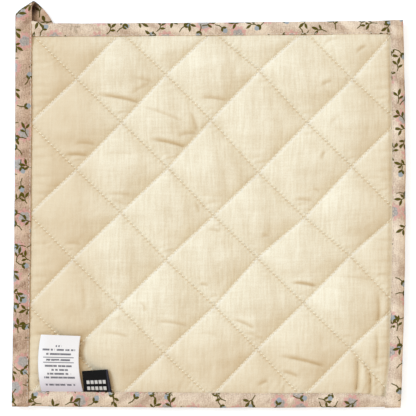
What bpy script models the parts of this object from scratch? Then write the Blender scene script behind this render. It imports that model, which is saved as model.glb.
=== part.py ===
"""A square quilted hot pad of cotton, lying on its back with the plain cover up.

Two cotton covers hold a sheet of wadding and are quilted together in diamonds. Four tapes bind
the edges: the side tapes run full height over the ends of the top and bottom tapes, and the left
one goes on past the corner, folds over and comes back under the top tape as a hanging loop. A
satin label and a folded woven tab are sewn in under the bottom tape.

Units are metres and +Z is up. The origin is the middle of the base of the whole pad.
"""

import math

import bmesh
import bpy
from mathutils import Vector

# Pad outline
PAD_WIDTH = 0.2
PAD_HEIGHT = 0.198
LEAN = 0.0006
TOP_SLOPE = 0.0008
BOTTOM_SLOPE = -0.00025
RIGHT_BOW = 0.0018

# Fabric layers
GAP = 0.0003
COVER_WALL = 0.0004
WADDING_AT_SEAM = 0.0006
PUFF_RISE = 0.0034
PUFF_DROP = 0.003
FLAT_FROM = 0.5625

# Quilting
SEAM_SPACING = 0.0333
SEAM_CELLS = 4
QUILT_OFFSET_X = 0.002
QUILT_OFFSET_Y = 0.0004
EDGE_RISE = 0.011
MARGIN_CUTS = 7

# Bindings
BINDING_WALL = 0.0005
LEFT_LAP = 0.0086
RIGHT_LAP = 0.0067
TOP_LAP = 0.0068
BOTTOM_LAP = 0.0072
LAP_STEPS = 2
FOLD_STEPS = 4
CORNER_RAMP = 0.004

# Hanging loop
LOOP_FOLD_ANGLE = math.radians(35.2)
LOOP_SIDE_RISE = 0.0054
LOOP_FLARE = 0.0026
LOOP_TURN = math.radians(36)
LOOP_TURN_START = 0.0106
LOOP_TURN_LENGTH = 0.006
LOOP_LENGTH = 0.0277
LOOP_CURL = 0.0024
LOOP_STEPS = 20

# Care label
LABEL_WIDTH = 0.0205
LABEL_LENGTH = 0.029
LABEL_WALL = 0.0003
LABEL_FROM_LEFT = 0.0252
LABEL_LEAN = -0.0007
LABEL_BOW = 0.0014
LABEL_TUCK = 0.003
LABEL_STEPS = 4

# Folded tab
TAB_WIDTH = 0.0136
TAB_LENGTH = 0.011
TAB_WALL = 0.00035
TAB_FROM_LEFT = 0.0443
TAB_LEAN = -0.002

# Sizes that follow from the values above
SEAM_HALF = COVER_WALL + GAP + WADDING_AT_SEAM / 2
MID_Z = SEAM_HALF + PUFF_DROP
LAP_HALF = SEAM_HALF + GAP + BINDING_WALL / 2
LAP_OUTER = LAP_HALF + BINDING_WALL / 2
CORNER_HALF = LAP_OUTER + GAP + BINDING_WALL / 2
CORNER_OUTER = CORNER_HALF + BINDING_WALL / 2
LOOP_HALF = (GAP + BINDING_WALL) / 2
LOOP_OUTER = LOOP_HALF + BINDING_WALL / 2
LEFT_EDGE = -PAD_WIDTH / 2
RIGHT_EDGE = PAD_WIDTH / 2
BOTTOM_EDGE = -PAD_HEIGHT / 2
TOP_EDGE = PAD_HEIGHT / 2

COLOURS = {
    "cream_cover": (0.80, 0.70, 0.52),
    "wadding": (0.85, 0.83, 0.78),
    "print_cover": (0.72, 0.53, 0.42),
    "binding": (0.72, 0.53, 0.42),
    "care_label": (0.87, 0.86, 0.82),
    "black_tab": (0.010, 0.009, 0.008),
}


def smooth(share):
    """Ease a share between 0 and 1 in and out."""
    share = min(1.0, max(0.0, share))
    return share * share * (3 - 2 * share)


def lay(x, y):
    """Move a point of the straight pattern to where the soft pad really lies."""
    across = x / (PAD_WIDTH / 2)
    along = y / (PAD_HEIGHT / 2)
    slope = (TOP_SLOPE + BOTTOM_SLOPE) / 2 + (TOP_SLOPE - BOTTOM_SLOPE) / 2 * along
    bow = RIGHT_BOW * max(0.0, across) * max(0.0, 1 - along * along)
    return x + LEAN * along + bow, y + slope * across


def puff(x, y):
    """Height of the quilting at a point: 0 on a seam, 1 in the middle of a diamond."""
    rising = (x - QUILT_OFFSET_X - y + QUILT_OFFSET_Y) / math.sqrt(2) / SEAM_SPACING
    falling = (x - QUILT_OFFSET_X + y - QUILT_OFFSET_Y) / math.sqrt(2) / SEAM_SPACING
    p = rising - math.floor(rising)
    q = falling - math.floor(falling)
    return 16 * p * (1 - p) * q * (1 - q)


def edge_share(x, y):
    """How far the quilting has risen at a point, from 0 at the bindings to 1 well inside."""
    depths = (
        x - LEFT_EDGE - LEFT_LAP - GAP,
        RIGHT_EDGE - RIGHT_LAP - GAP - x,
        y - BOTTOM_EDGE - BOTTOM_LAP - GAP,
        TOP_EDGE - TOP_LAP - GAP - y,
    )
    share = 1.0
    for depth in depths:
        near = min(1.0, max(0.0, depth / EDGE_RISE))
        share *= near * (2 - near)
    return share


def upper(x, y):
    """Top of the plain cover."""
    return MID_Z + SEAM_HALF + PUFF_RISE * puff(x, y) * edge_share(x, y)


def lower(x, y):
    """Underside of the printed cover, its puffs pressed flat by the table."""
    return MID_Z - SEAM_HALF - PUFF_DROP * min(1.0, puff(x, y) / FLAT_FROM) * edge_share(x, y)


def make_material(name):
    """Plain woven fabric in the colour of the piece."""
    material = bpy.data.materials.new(name)
    material.use_nodes = True
    shader = material.node_tree.nodes["Principled BSDF"]
    shader.inputs["Base Color"].default_value = (*COLOURS[name], 1.0)
    shader.inputs["Roughness"].default_value = 0.85
    shader.inputs["Metallic"].default_value = 0.0
    return material


def add_object(name, bm, collection, material):
    """Turn a bmesh into a named object of the pad."""
    mesh = bpy.data.meshes.new(name)
    bm.to_mesh(mesh)
    bm.free()
    mesh.materials.append(material)
    mesh.shade_smooth()
    mesh.set_sharp_from_angle(angle=math.radians(50))
    obj = bpy.data.objects.new(name, mesh)
    collection.objects.link(obj)
    return obj


def thicken(obj, wall, offset):
    """Give a sheet its cloth thickness."""
    shell = obj.modifiers.new("cloth", "SOLIDIFY")
    shell.thickness = wall
    shell.offset = offset


def quilt_grid():
    """A flat grid along the 45 degree seams, trimmed to the space inside the bindings' folds."""
    cell = SEAM_SPACING / SEAM_CELLS
    reach = math.ceil((PAD_WIDTH + PAD_HEIGHT) / 2 / math.sqrt(2) / SEAM_SPACING + 1)
    count = 2 * reach * SEAM_CELLS
    bm = bmesh.new()
    bmesh.ops.create_grid(bm, x_segments=count, y_segments=count, size=count * cell / 2)
    turn = math.sqrt(0.5)
    for vert in bm.verts:
        x, y = vert.co.x, vert.co.y
        vert.co.x = QUILT_OFFSET_X + (x + y) * turn
        vert.co.y = QUILT_OFFSET_Y + (y - x) * turn
    for face in bm.faces[:]:
        split_steeply(face)
    inset = LAP_OUTER
    trims = (
        ((LEFT_EDGE + inset, 0, 0), (-1, 0, 0)),
        ((RIGHT_EDGE - inset, 0, 0), (1, 0, 0)),
        ((0, BOTTOM_EDGE + inset, 0), (0, -1, 0)),
        ((0, TOP_EDGE - inset, 0), (0, 1, 0)),
    )
    creases = (
        ((LEFT_EDGE + LEFT_LAP + GAP, 0, 0), (-1, 0, 0)),
        ((RIGHT_EDGE - RIGHT_LAP - GAP, 0, 0), (1, 0, 0)),
        ((0, BOTTOM_EDGE + BOTTOM_LAP + GAP, 0), (0, -1, 0)),
        ((0, TOP_EDGE - TOP_LAP - GAP, 0), (0, 1, 0)),
    )
    for point, normal in trims:
        cut(bm, point, normal, True)
    for point, normal in creases:
        cut(bm, point, normal, False)
    bmesh.ops.remove_doubles(bm, verts=bm.verts, dist=0.00002)
    merge_margins(bm)
    bmesh.ops.triangulate(bm, faces=bm.faces)
    return bm


def merge_margins(bm):
    """Make one face of each flat strip and corner under the tapes, its outer edge in short lengths."""
    margins = {}
    for face in bm.faces:
        centre = face.calc_center_median()
        if edge_share(centre.x, centre.y) > 0:
            continue
        column = (centre.x > RIGHT_EDGE - RIGHT_LAP - GAP) - (centre.x < LEFT_EDGE + LEFT_LAP + GAP)
        row = (centre.y > TOP_EDGE - TOP_LAP - GAP) - (centre.y < BOTTOM_EDGE + BOTTOM_LAP + GAP)
        margins.setdefault((column, row), []).append(face)
    for faces in margins.values():
        bmesh.ops.dissolve_faces(bm, faces=faces, use_verts=True)
    long_edges = [edge for edge in bm.edges if edge.calc_length() > PAD_WIDTH / 2]
    bmesh.ops.subdivide_edges(bm, edges=long_edges, cuts=MARGIN_CUTS)


def split_steeply(face):
    """Split a quad along its steeper diagonal, so that every layer creases in the same places."""
    verts = face.verts[:]
    heights = [puff(vert.co.x, vert.co.y) for vert in verts]
    first = 0 if abs(heights[0] - heights[2]) > abs(heights[1] - heights[3]) else 1
    bmesh.utils.face_split(face, verts[first], verts[first + 2])


def cut(bm, point, normal, trim):
    """Cut the grid along a plane, and drop what lies outside when trimming."""
    parts = bm.verts[:] + bm.edges[:] + bm.faces[:]
    bmesh.ops.bisect_plane(
        bm, geom=parts, dist=0.00002, plane_co=point, plane_no=normal, clear_outer=trim
    )


def quilt_sheet(name, height, facing_up, collection):
    """One cover: the quilt grid raised to a height function and thickened inwards."""
    bm = quilt_grid()
    if not facing_up:
        bmesh.ops.reverse_faces(bm, faces=bm.faces)
    for vert in bm.verts:
        x, y = vert.co.x, vert.co.y
        vert.co.xy = lay(x, y)
        vert.co.z = height(x, y)
    obj = add_object(name, bm, collection, make_material(name))
    thicken(obj, COVER_WALL, -1)
    return obj


def quilt_filling(name, collection):
    """The wadding: one slab between the covers, thin at the seams and thick in the diamonds."""
    bm = quilt_grid()
    for vert in bm.verts:
        vert.co.z = -1.0
    bottom = bm.faces[:]
    grown = bmesh.ops.extrude_face_region(bm, geom=bottom, use_keep_orig=True)["geom"]
    for part in grown:
        if isinstance(part, bmesh.types.BMVert):
            part.co.z = 1.0
    bmesh.ops.recalc_face_normals(bm, faces=bm.faces)
    inner = COVER_WALL + GAP
    for vert in bm.verts:
        x, y = vert.co.x, vert.co.y
        is_top = vert.co.z > 0
        vert.co.xy = lay(x, y)
        vert.co.z = upper(x, y) - inner if is_top else lower(x, y) + inner
    return add_object(name, bm, collection, make_material(name))


def mapped_sheet(name, stations, steps, place, wall, collection, material):
    """A sheet whose grid points are put in place by a function of station and step."""
    rows = len(stations) - 1
    bm = bmesh.new()
    bmesh.ops.create_grid(bm, x_segments=rows, y_segments=steps, size=1)
    for vert in bm.verts:
        row = round((vert.co.x + 1) / 2 * rows)
        step = round((vert.co.y + 1) / 2 * steps)
        vert.co = Vector(place(stations[row], step))
    obj = add_object(name, bm, collection, material)
    thicken(obj, wall, 0)
    return obj


def tape_section(lap, half, step):
    """Depth from the outer edge and height off the middle, along the middle of a folded tape.

    The steps run up the lower lap, round the fold and back along the upper lap.
    """
    middle = half + BINDING_WALL / 2
    if step <= LAP_STEPS:
        share = step / LAP_STEPS
        return lap + (middle - lap) * share, -half
    if step >= LAP_STEPS + FOLD_STEPS:
        share = (step - LAP_STEPS - FOLD_STEPS) / LAP_STEPS
        return middle + (lap - middle) * share, half
    angle = math.pi * (step - LAP_STEPS) / FOLD_STEPS
    return middle - half * math.sin(angle), -half * math.cos(angle)


def side_half(y):
    """Half height of a side tape, which rises over the ends of the top and bottom tapes."""
    over_top = smooth((y - TOP_EDGE + TOP_LAP + CORNER_RAMP) / CORNER_RAMP)
    over_bottom = smooth((BOTTOM_EDGE + BOTTOM_LAP + CORNER_RAMP - y) / CORNER_RAMP)
    return LAP_HALF + (CORNER_HALF - LAP_HALF) * max(over_top, over_bottom)


def side_stations():
    """Places along a side tape, closer where it rises over the other tapes."""
    low = BOTTOM_EDGE + BOTTOM_LAP
    high = TOP_EDGE - TOP_LAP
    middle = [low + CORNER_RAMP + (high - low - 2 * CORNER_RAMP) * i / 6 for i in range(7)]
    low_ramp = [BOTTOM_EDGE, low, low + CORNER_RAMP / 2]
    high_ramp = [high - CORNER_RAMP / 2, high]
    return low_ramp + middle + high_ramp


def loop_point(along, across, off):
    """A point of the hanging loop, from its place on the unrolled tape.

    The tape goes on up past the corner, rolls over an edge that lies at an angle and comes back
    underneath, turning down towards the pad. It opens wider towards its inner edge.
    """
    half_width = LEFT_LAP / 2
    turned = min(LOOP_TURN, max(0.0, (along - LOOP_TURN_START) / LOOP_TURN_LENGTH * LOOP_TURN))
    radius = LOOP_TURN_LENGTH / LOOP_TURN
    straight = min(along, LOOP_TURN_START) + max(0.0, along - LOOP_TURN_START - LOOP_TURN_LENGTH) * (
        math.cos(turned)
    )
    drift = max(0.0, along - LOOP_TURN_START - LOOP_TURN_LENGTH) * math.sin(turned)
    x = half_width - radius * (1 - math.cos(turned)) - drift + across * math.cos(turned)
    y = straight + radius * math.sin(turned) + across * math.sin(turned)

    inward = (across + half_width) / LEFT_LAP
    top_z = MID_Z + LOOP_FLARE * inward
    low_z = LOOP_OUTER + GAP / 2
    roll = (top_z - low_z) / 2
    edge = LOOP_SIDE_RISE * math.cos(LOOP_FOLD_ANGLE) - LOOP_OUTER - roll
    cos_fold = math.cos(LOOP_FOLD_ANGLE)
    sin_fold = math.sin(LOOP_FOLD_ANGLE)
    beside = x * cos_fold + y * sin_fold
    beyond = y * cos_fold - x * sin_fold - edge
    if beyond <= 0:
        tangent_y = (edge + (across + half_width) * sin_fold) / cos_fold
        z = MID_Z + (top_z - MID_Z) * smooth(y / tangent_y) + off
        reach = edge + beyond
    elif beyond < math.pi * roll:
        angle = beyond / roll
        z = top_z - roll + (roll + off) * math.cos(angle)
        reach = edge + (roll + off) * math.sin(angle)
    else:
        back = beyond - math.pi * roll
        under_z = MID_Z - LAP_OUTER - GAP - LOOP_OUTER
        curl = LOOP_CURL * inward * smooth(back / 0.004) * (1 - smooth((back - 0.003) / 0.006))
        z = low_z + (under_z - low_z) * smooth(back / 0.006) + curl - off
        reach = edge - back
    return beside * cos_fold - reach * sin_fold, beside * sin_fold + reach * cos_fold, z


def left_tape_point(y, step):
    """A point of the left tape, and of the loop once past the pad's top edge."""
    beyond = y - TOP_EDGE
    half = side_half(y)
    half += (LOOP_HALF - half) * smooth((beyond + 0.0015) / 0.0034)
    depth, height = tape_section(LEFT_LAP, half, step)
    if beyond <= 0:
        flat_x, flat_y = lay(LEFT_EDGE + depth, y)
        return flat_x, flat_y, MID_Z + height
    x, loop_y, z = loop_point(beyond, depth - LEFT_LAP / 2, height)
    flat_x, flat_y = lay(LEFT_EDGE + x, TOP_EDGE + loop_y)
    return flat_x, flat_y, z


def right_tape_point(y, step):
    """A point of the right tape."""
    depth, height = tape_section(RIGHT_LAP, side_half(y), step)
    flat_x, flat_y = lay(RIGHT_EDGE - depth, y)
    return flat_x, flat_y, MID_Z + height


def top_tape_point(x, step):
    """A point of the top tape."""
    depth, height = tape_section(TOP_LAP, LAP_HALF, step)
    flat_x, flat_y = lay(x, TOP_EDGE - depth)
    return flat_x, flat_y, MID_Z + height


def label_lift(x):
    """How far the bottom tape's upper lap rises over the ends of the label and the tab."""
    lift = 0.0
    pieces = (
        (LABEL_FROM_LEFT, LABEL_WIDTH, LABEL_WALL),
        (TAB_FROM_LEFT, TAB_WIDTH, 2 * TAB_WALL + GAP),
    )
    for from_left, width, thickness in pieces:
        outside = abs(x - LEFT_EDGE - from_left) - width / 2
        lift = max(lift, (thickness + GAP) * (1 - smooth(outside / TAB_LENGTH * 3)))
    return lift


def bottom_tape_point(x, step):
    """A point of the bottom tape, its upper lap raised over the label and the tab."""
    depth, height = tape_section(BOTTOM_LAP, LAP_HALF, step)
    if height > 0:
        height += label_lift(x) * smooth((depth - LAP_OUTER) / (BOTTOM_LAP - LAP_OUTER - LABEL_TUCK))
    flat_x, flat_y = lay(x, BOTTOM_EDGE + depth)
    return flat_x, flat_y, MID_Z + height


def level_stations(extra):
    """Places along the top or bottom tape, whose ends lie inside the side tapes' folds."""
    low = LEFT_EDGE + CORNER_OUTER
    high = RIGHT_EDGE - CORNER_OUTER
    evenly = [low + (high - low) * i / 8 for i in range(9)]
    kept = [x for x in evenly if all(abs(x - other) > 0.004 for other in extra)]
    return sorted(kept + list(extra))


def label_point(along, step):
    """A point of the care label, which leaves the bottom tape and rides over the puffs."""
    across = step / LABEL_STEPS - 0.5
    free = max(0.0, along / LABEL_LENGTH)
    x = LEFT_EDGE + LABEL_FROM_LEFT + across * LABEL_WIDTH
    x += LABEL_LEAN * free - LABEL_BOW * 4 * free * (1 - free)
    y = BOTTOM_EDGE + BOTTOM_LAP + along
    flat_x, flat_y = lay(x, y)
    return flat_x, flat_y, ride_height(x, y) + LABEL_WALL / 2


def ride_height(x, y):
    """Underside of a label at a point: level with the puffs' tops wherever they have risen."""
    return MID_Z + SEAM_HALF + GAP + PUFF_RISE * edge_share(x, y)


def tab_point(t, step):
    """A point of the tab: out along the lower layer, round the fold and back along the upper."""
    across = step / 2 - 0.5
    radius = (TAB_WALL + GAP) / 2
    leg = LABEL_TUCK + TAB_LENGTH - radius - TAB_WALL / 2
    bend = math.pi * radius
    run = t * (2 * leg + bend)
    if run < leg:
        along, height = run, 0.0
    elif run < leg + bend:
        angle = (run - leg) / radius
        along, height = leg + radius * math.sin(angle), radius * (1 - math.cos(angle))
    else:
        along, height = 2 * leg + bend - run, 2 * radius
    along -= LABEL_TUCK
    x = LEFT_EDGE + TAB_FROM_LEFT + across * TAB_WIDTH + TAB_LEAN * along / TAB_LENGTH
    y = BOTTOM_EDGE + BOTTOM_LAP + along
    flat_x, flat_y = lay(x, y)
    return flat_x, flat_y, ride_height(x, y) + TAB_WALL / 2 + height


def tab_stations():
    """Places along the folded tab, closer round its fold."""
    radius = (TAB_WALL + GAP) / 2
    leg = LABEL_TUCK + TAB_LENGTH - radius - TAB_WALL / 2
    bend = math.pi * radius
    whole = 2 * leg + bend
    legs = [leg * i / 5 for i in range(6)]
    fold = [leg + bend * i / 4 for i in range(1, 4)]
    back = [whole - run for run in reversed(legs)]
    return [run / whole for run in legs + fold + back]


def set_on_origin(objects):
    """Shift every piece so that the origin is the middle of the pad's base."""
    bpy.context.view_layer.update()
    graph = bpy.context.evaluated_depsgraph_get()
    corners = []
    for obj in objects:
        evaluated = obj.evaluated_get(graph)
        corners += [Vector(corner) for corner in evaluated.bound_box]
    low = [min(corner[i] for corner in corners) for i in range(3)]
    high = [max(corner[i] for corner in corners) for i in range(3)]
    shift = Vector((-(low[0] + high[0]) / 2, -(low[1] + high[1]) / 2, -low[2]))
    for obj in objects:
        for vert in obj.data.vertices:
            vert.co += shift


def build():
    """Model every piece of the pad."""
    for obj in list(bpy.data.objects):
        bpy.data.objects.remove(obj)
    pad = bpy.data.collections.new("quilted_hot_pad")
    bpy.context.scene.collection.children.link(pad)

    quilt_sheet("cream_cover", upper, True, pad)
    quilt_filling("wadding", pad)
    quilt_sheet("print_cover", lower, False, pad)

    tape = make_material("binding")
    section_steps = 2 * LAP_STEPS + FOLD_STEPS
    sides = side_stations()
    loop = [TOP_EDGE - 0.0015 + 0.0034 * i / 4 for i in range(5)]
    loop_start = loop[-1]
    loop_run = TOP_EDGE + LOOP_LENGTH - loop_start
    loop += [loop_start + loop_run * i / LOOP_STEPS for i in range(1, LOOP_STEPS + 1)]
    mapped_sheet("binding_left", sides + loop, section_steps, left_tape_point, BINDING_WALL, pad, tape)
    mapped_sheet(
        "binding_right", sides + [TOP_EDGE], section_steps, right_tape_point, BINDING_WALL, pad, tape
    )
    mapped_sheet(
        "binding_top", level_stations(()), section_steps, top_tape_point, BINDING_WALL, pad, tape
    )
    ends = []
    for from_left, width in ((LABEL_FROM_LEFT, LABEL_WIDTH), (TAB_FROM_LEFT, TAB_WIDTH)):
        ends += [LEFT_EDGE + from_left - width / 2, LEFT_EDGE + from_left + width / 2]
    ends = [ends[0] - TAB_LENGTH / 3] + ends + [ends[-1] + TAB_LENGTH / 3]
    mapped_sheet(
        "binding_bottom", level_stations(ends), section_steps, bottom_tape_point, BINDING_WALL, pad, tape
    )

    rows = [-LABEL_TUCK] + [LABEL_LENGTH * i / 7 for i in range(8)]
    mapped_sheet(
        "care_label", rows, LABEL_STEPS, label_point, LABEL_WALL, pad, make_material("care_label")
    )
    mapped_sheet("black_tab", tab_stations(), 2, tab_point, TAB_WALL, pad, make_material("black_tab"))

    set_on_origin(list(pad.objects))


build()
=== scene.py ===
"""Looks of a square quilted hot pad of cotton, lying on its back with the plain cover up.

Metres, +Z up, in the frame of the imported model. The quilting is a cloth relaxation in numpy: each
cover is a grid of threads pinned along the seams, a little longer than the ground it spans, and
pushed out by its wadding. The tapes, the hanging loop, the labels and each stitch are meshes.
"""

import math

import bmesh
import bpy
import numpy as np
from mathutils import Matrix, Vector


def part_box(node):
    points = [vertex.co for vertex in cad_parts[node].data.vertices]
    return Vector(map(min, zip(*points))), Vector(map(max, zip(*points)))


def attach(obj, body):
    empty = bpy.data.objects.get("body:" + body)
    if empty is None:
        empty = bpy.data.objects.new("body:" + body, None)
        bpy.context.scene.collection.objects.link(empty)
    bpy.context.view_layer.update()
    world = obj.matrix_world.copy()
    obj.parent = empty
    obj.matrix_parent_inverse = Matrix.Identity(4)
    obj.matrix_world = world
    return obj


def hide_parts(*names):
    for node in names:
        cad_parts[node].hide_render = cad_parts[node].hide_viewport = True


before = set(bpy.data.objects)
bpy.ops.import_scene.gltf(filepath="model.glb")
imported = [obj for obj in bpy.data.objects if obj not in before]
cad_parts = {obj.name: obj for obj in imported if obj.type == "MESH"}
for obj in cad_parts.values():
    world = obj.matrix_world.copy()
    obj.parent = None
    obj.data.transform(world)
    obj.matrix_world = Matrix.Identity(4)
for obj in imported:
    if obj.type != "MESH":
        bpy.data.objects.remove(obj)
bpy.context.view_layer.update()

MM = 0.001

# Pattern of the pad, as in the model
PAD_WIDTH = 200 * MM
PAD_HEIGHT = 198 * MM
LEAN = 0.6 * MM
TOP_SLOPE = 0.8 * MM
BOTTOM_SLOPE = -0.25 * MM
RIGHT_BOW = 1.8 * MM
LEFT_SLUMP = 0.35 * MM
BOTTOM_SAG = 0.6 * MM
TOP_SAG = 0.3 * MM
SEAM_SPACING = 33.3 * MM
QUILT_OFFSET = (2.0 * MM, 0.4 * MM)
LEFT_LAP = 8.6 * MM
RIGHT_LAP = 6.7 * MM
TOP_LAP = 6.8 * MM
BOTTOM_LAP = 7.2 * MM
LEFT_EDGE = -PAD_WIDTH / 2
RIGHT_EDGE = PAD_WIDTH / 2
BOTTOM_EDGE = -PAD_HEIGHT / 2
TOP_EDGE = PAD_HEIGHT / 2
MID_Z = 4.0 * MM
HEM_RISE = 0.6 * MM
COVER_INSET = 1.8 * MM

# How the sewn seams drift from the even pattern: right and up, in mm, at each crossing
SEAM_DRIFT = {
    (-3, 3): (0.6, -0.7), (-1, 3): (-0.4, 1.4), (1, 3): (0.4, 3.1), (3, 3): (0.8, -1.7),
    (-2, 2): (0.4, 0.2), (0, 2): (-0.5, 1.3), (2, 2): (1.3, -0.5),
    (-3, 1): (0.6, -0.5), (-1, 1): (1.0, 0.3), (1, 1): (0.1, -2.5), (3, 1): (0.2, 0.6),
    (-2, 0): (0.4, 0.8), (0, 0): (1.1, -0.9), (2, 0): (0.0, -2.0),
    (-3, -1): (-0.8, 0.5), (-1, -1): (0.3, -0.2), (1, -1): (-0.3, 0.9), (3, -1): (-0.5, 1.9),
    (-2, -2): (-0.3, -0.4), (0, -2): (1.9, -0.4), (2, -2): (0.0, 1.0),
    (-1, -3): (-0.4, -1.0), (1, -3): (0.0, 1.1), (3, -3): (0.5, 1.4),
}

# Creases of the plain cover, listed: from x, y to x, y in mm, then depth and width
CREASES = (
    (-57.5, 55.7, -36.3, 51.9, 0.55, 1.0), (-38.6, 64.3, -28.6, 61.9, 0.25, 1.0),
    (-39.8, 56.0, -30.4, 61.6, 0.20, 1.2), (-68.8, 30.5, -58.7, 30.2, 0.35, 1.2),
    (-74.7, 24.7, -62.8, 24.4, 0.50, 1.0), (-30.4, 32.9, -12.0, 28.8, 0.60, 1.0),
    (-33.9, 49.5, -14.4, 42.4, 0.30, 1.8), (-15.6, 34.7, -6.7, 35.9, 0.35, 1.2),
    (-54.0, 25.6, -39.2, 25.2, 0.14, 0.6), (-54.0, 4.5, -40.4, 4.0, 0.20, 0.9),
    (-50.0, 1.4, -43.3, -0.7, 0.20, 0.9), (-10.3, 47.7, -6.7, 37.6, 0.38, 2.0),
    (-4.6, 54.2, 8.8, 52.9, 0.40, 1.2), (57.2, 59.8, 63.3, 62.9, 0.30, 1.0),
    (60.3, 58.6, 61.5, 54.2, 0.20, 1.0), (70.9, 66.0, 70.2, 62.3, 0.35, 0.9),
    (75.7, 76.7, 80.9, 81.0, 0.35, 0.9), (59.6, 82.3, 65.9, 84.8, 0.20, 0.9),
    (62.2, 39.9, 67.0, 44.9, 0.15, 1.0), (58.4, 21.8, 59.9, 26.7, 0.30, 0.8),
    (53.4, 7.4, 56.5, 5.5, 0.25, 1.2), (44.0, 1.5, 52.8, 1.2, 0.35, 1.0),
    (-7.3, 0.7, -5.5, -4.6, 0.40, 0.9), (-74.2, -20.9, -65.9, -21.2, 0.30, 1.8),
    (-65.9, -39.3, -64.6, -54.2, 0.30, 2.6), (-35.6, -50.1, -33.0, -55.5, 0.30, 1.0),
    (-26.3, -60.8, -11.4, -63.1, 0.30, 1.0), (-54.6, -66.6, -42.2, -68.4, 0.35, 1.0),
    (-50.0, -59.6, -43.3, -60.8, 0.20, 1.0), (-4.9, -41.9, -0.8, -42.7, 0.35, 0.8),
    (27.2, -17.5, 30.9, -16.8, 0.30, 1.3), (42.7, -41.1, 54.6, -42.7, 0.60, 0.8),
    (65.3, -37.4, 85.9, -39.9, 0.15, 0.7), (36.6, -78.6, 58.4, -83.6, 0.60, 1.0),
    (76.3, -77.0, 75.6, -97.0, 1.15, 1.5), (82.3, -83.0, 82.7, -98.3, 0.95, 0.9),
    (85.7, -65.0, 85.9, -83.0, 0.60, 0.9), (86.6, -46.0, 86.6, -61.5, 0.65, 1.5),
    (12.2, -59.9, 22.8, -64.2, 0.40, 0.9), (18.4, -66.7, 26.6, -69.8, 0.20, 0.9),
    (37.2, -86.7, 45.3, -89.2, 0.40, 0.9), (25.2, -94.2, 30.3, -91.7, 0.35, 1.0),
    (-4.6, -67.0, 4.1, -67.7, 0.15, 0.8), (-0.9, -13.7, 5.4, -14.6, 0.30, 0.9),
)

# Quilted covers
SEAM_TOP = MID_Z + 0.9 * MM
SEAM_BACK = MID_Z - 0.9 * MM
EDGE_TOP = MID_Z + 1.0 * MM
EDGE_BACK = MID_Z - 1.0 * MM
EDGE_RISE = 11 * MM
PUFF_START = 2.6 * MM
COARSE_CELLS = 24
FINE_CELLS = 48
STITCH_CELLS = 3
STITCH_SLANT = 0.62 * MM
STITCH_DIP = 0.30 * MM
GATHER_REACH = 1.3 * MM
THREAD_RADIUS = 0.25 * MM
TABLE_CLEARANCE = 0.05 * MM
BEND_REST = 0.985
SLACK_X = 0.018
SLACK_Y = 0.029
SLACK_BIAS = 0.024
PULL_ROUNDS = 5
WADDING_INSET = 0.55 * MM
WADDING_STEP = 2

# Cloth against cloth, as between the model's solids
LAYER_GAP = 0.3 * MM

# Tapes
TAPE_WALL = 0.5 * MM
LAP_OUTER = 1.8 * MM
CORNER_OUTER = 2.6 * MM
CORNER_RAMP = 4.0 * MM
CORNER_SWELL = 1.6 * MM
END_REACH = 0.3 * MM
EDGE_WANDER = 0.15 * MM
WANDER_LENGTH = 23 * MM
SWELL = 0.45 * MM
SWELL_WANDER = 0.25 * MM
SWELL_LENGTH = 13 * MM
STITCH_GROOVE = 0.20 * MM
STITCH_PULL = 0.10 * MM
HEM_ROLL = 0.42 * MM
TOPSTITCH_INSET = 0.65 * MM
TOPSTITCH_PITCH = 2.2 * MM
TAPE_STEP = TOPSTITCH_PITCH / 4
NOSE_STEPS = 11
HEM_STOPS = (0.0, 0.04, 0.12, 0.25, 0.4, 0.52, 0.65, 0.78, 0.95, 1.3, 1.9)
END_STOPS = (0, 0.1, 0.25, 0.45, 0.7, 1.0)

# Hanging loop
LOOP_OUTER = 0.65 * MM
LOOP_FOLD_ANGLE = math.radians(35.2)
LOOP_SIDE_RISE = 5.4 * MM
LOOP_FLARE = 2.6 * MM
LOOP_TURN = math.radians(36)
LOOP_TURN_START = 10.6 * MM
LOOP_TURN_LENGTH = 6.0 * MM
LOOP_LENGTH = 27.7 * MM
LOOP_CURL = 2.4 * MM
LOOP_BULGE = 0.8 * MM

# Labels
LABEL_WIDTH = 20.5 * MM
LABEL_LENGTH = 29 * MM
LABEL_WALL = 0.3 * MM
LABEL_FROM_LEFT = 25.2 * MM
LABEL_LEAN = -1.1 * MM
LABEL_BOW = 1.6 * MM
LABEL_SHIFT = 0.85 * MM
LABEL_TILT = 0.7 * MM
LABEL_TUCK = 3.0 * MM
LABEL_FOOT = 1.3 * MM
LABEL_CLIMB = 3.4 * MM
TAB_WIDTH = 13.6 * MM
TAB_LENGTH = 11 * MM
TAB_WALL = 0.35 * MM
TAB_FROM_LEFT = 44.3 * MM
TAB_SHIFT = 0.35 * MM
TAB_LEAN = -2.0 * MM

# Plain marks on the labels, in mm from the sewn-in end: bars and half their length, rules, rows
LABEL_BARS = (
    (3.6, 8.2), (7.3, 8.0), (9.2, 6.2), (11.2, 4.8), (13.2, 7.2),
    (16.3, 6.5), (19.3, 6.6), (21.5, 8.7), (23.4, 1.9),
)
LABEL_RULES = (15.0, 17.6)
TAB_ROWS = (17.2, 20.4)

# Width of cloth that a UV map spans
UV_SPAN_MM = 220.0

# Camera, from the photograph
PIXEL = 0.515 * MM
PHOTO_SIDE = 416
VIEW_CENTRE = (-0.5 * MM, -2.2 * MM)
CAMERA_HEIGHT = 1.8
SENSOR_WIDTH = 36.0

# Light from the upper left, the room's even light and the table top
LAMP_HEADING = math.radians(147)
LAMP_HEIGHT = math.radians(42)
LAMP_SPREAD = math.radians(24)
LAMP_COLOUR = (1.01, 1.47, 2.05)
ROOM_COLOUR = (0.79, 0.695, 0.58, 1)
WHITE = (1, 1, 1, 1)
FLOOR_REACH = 4.0


def smooth(share):
    """Ease shares between 0 and 1 in and out."""
    share = np.clip(share, 0.0, 1.0)
    return share * share * (3 - 2 * share)


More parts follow.
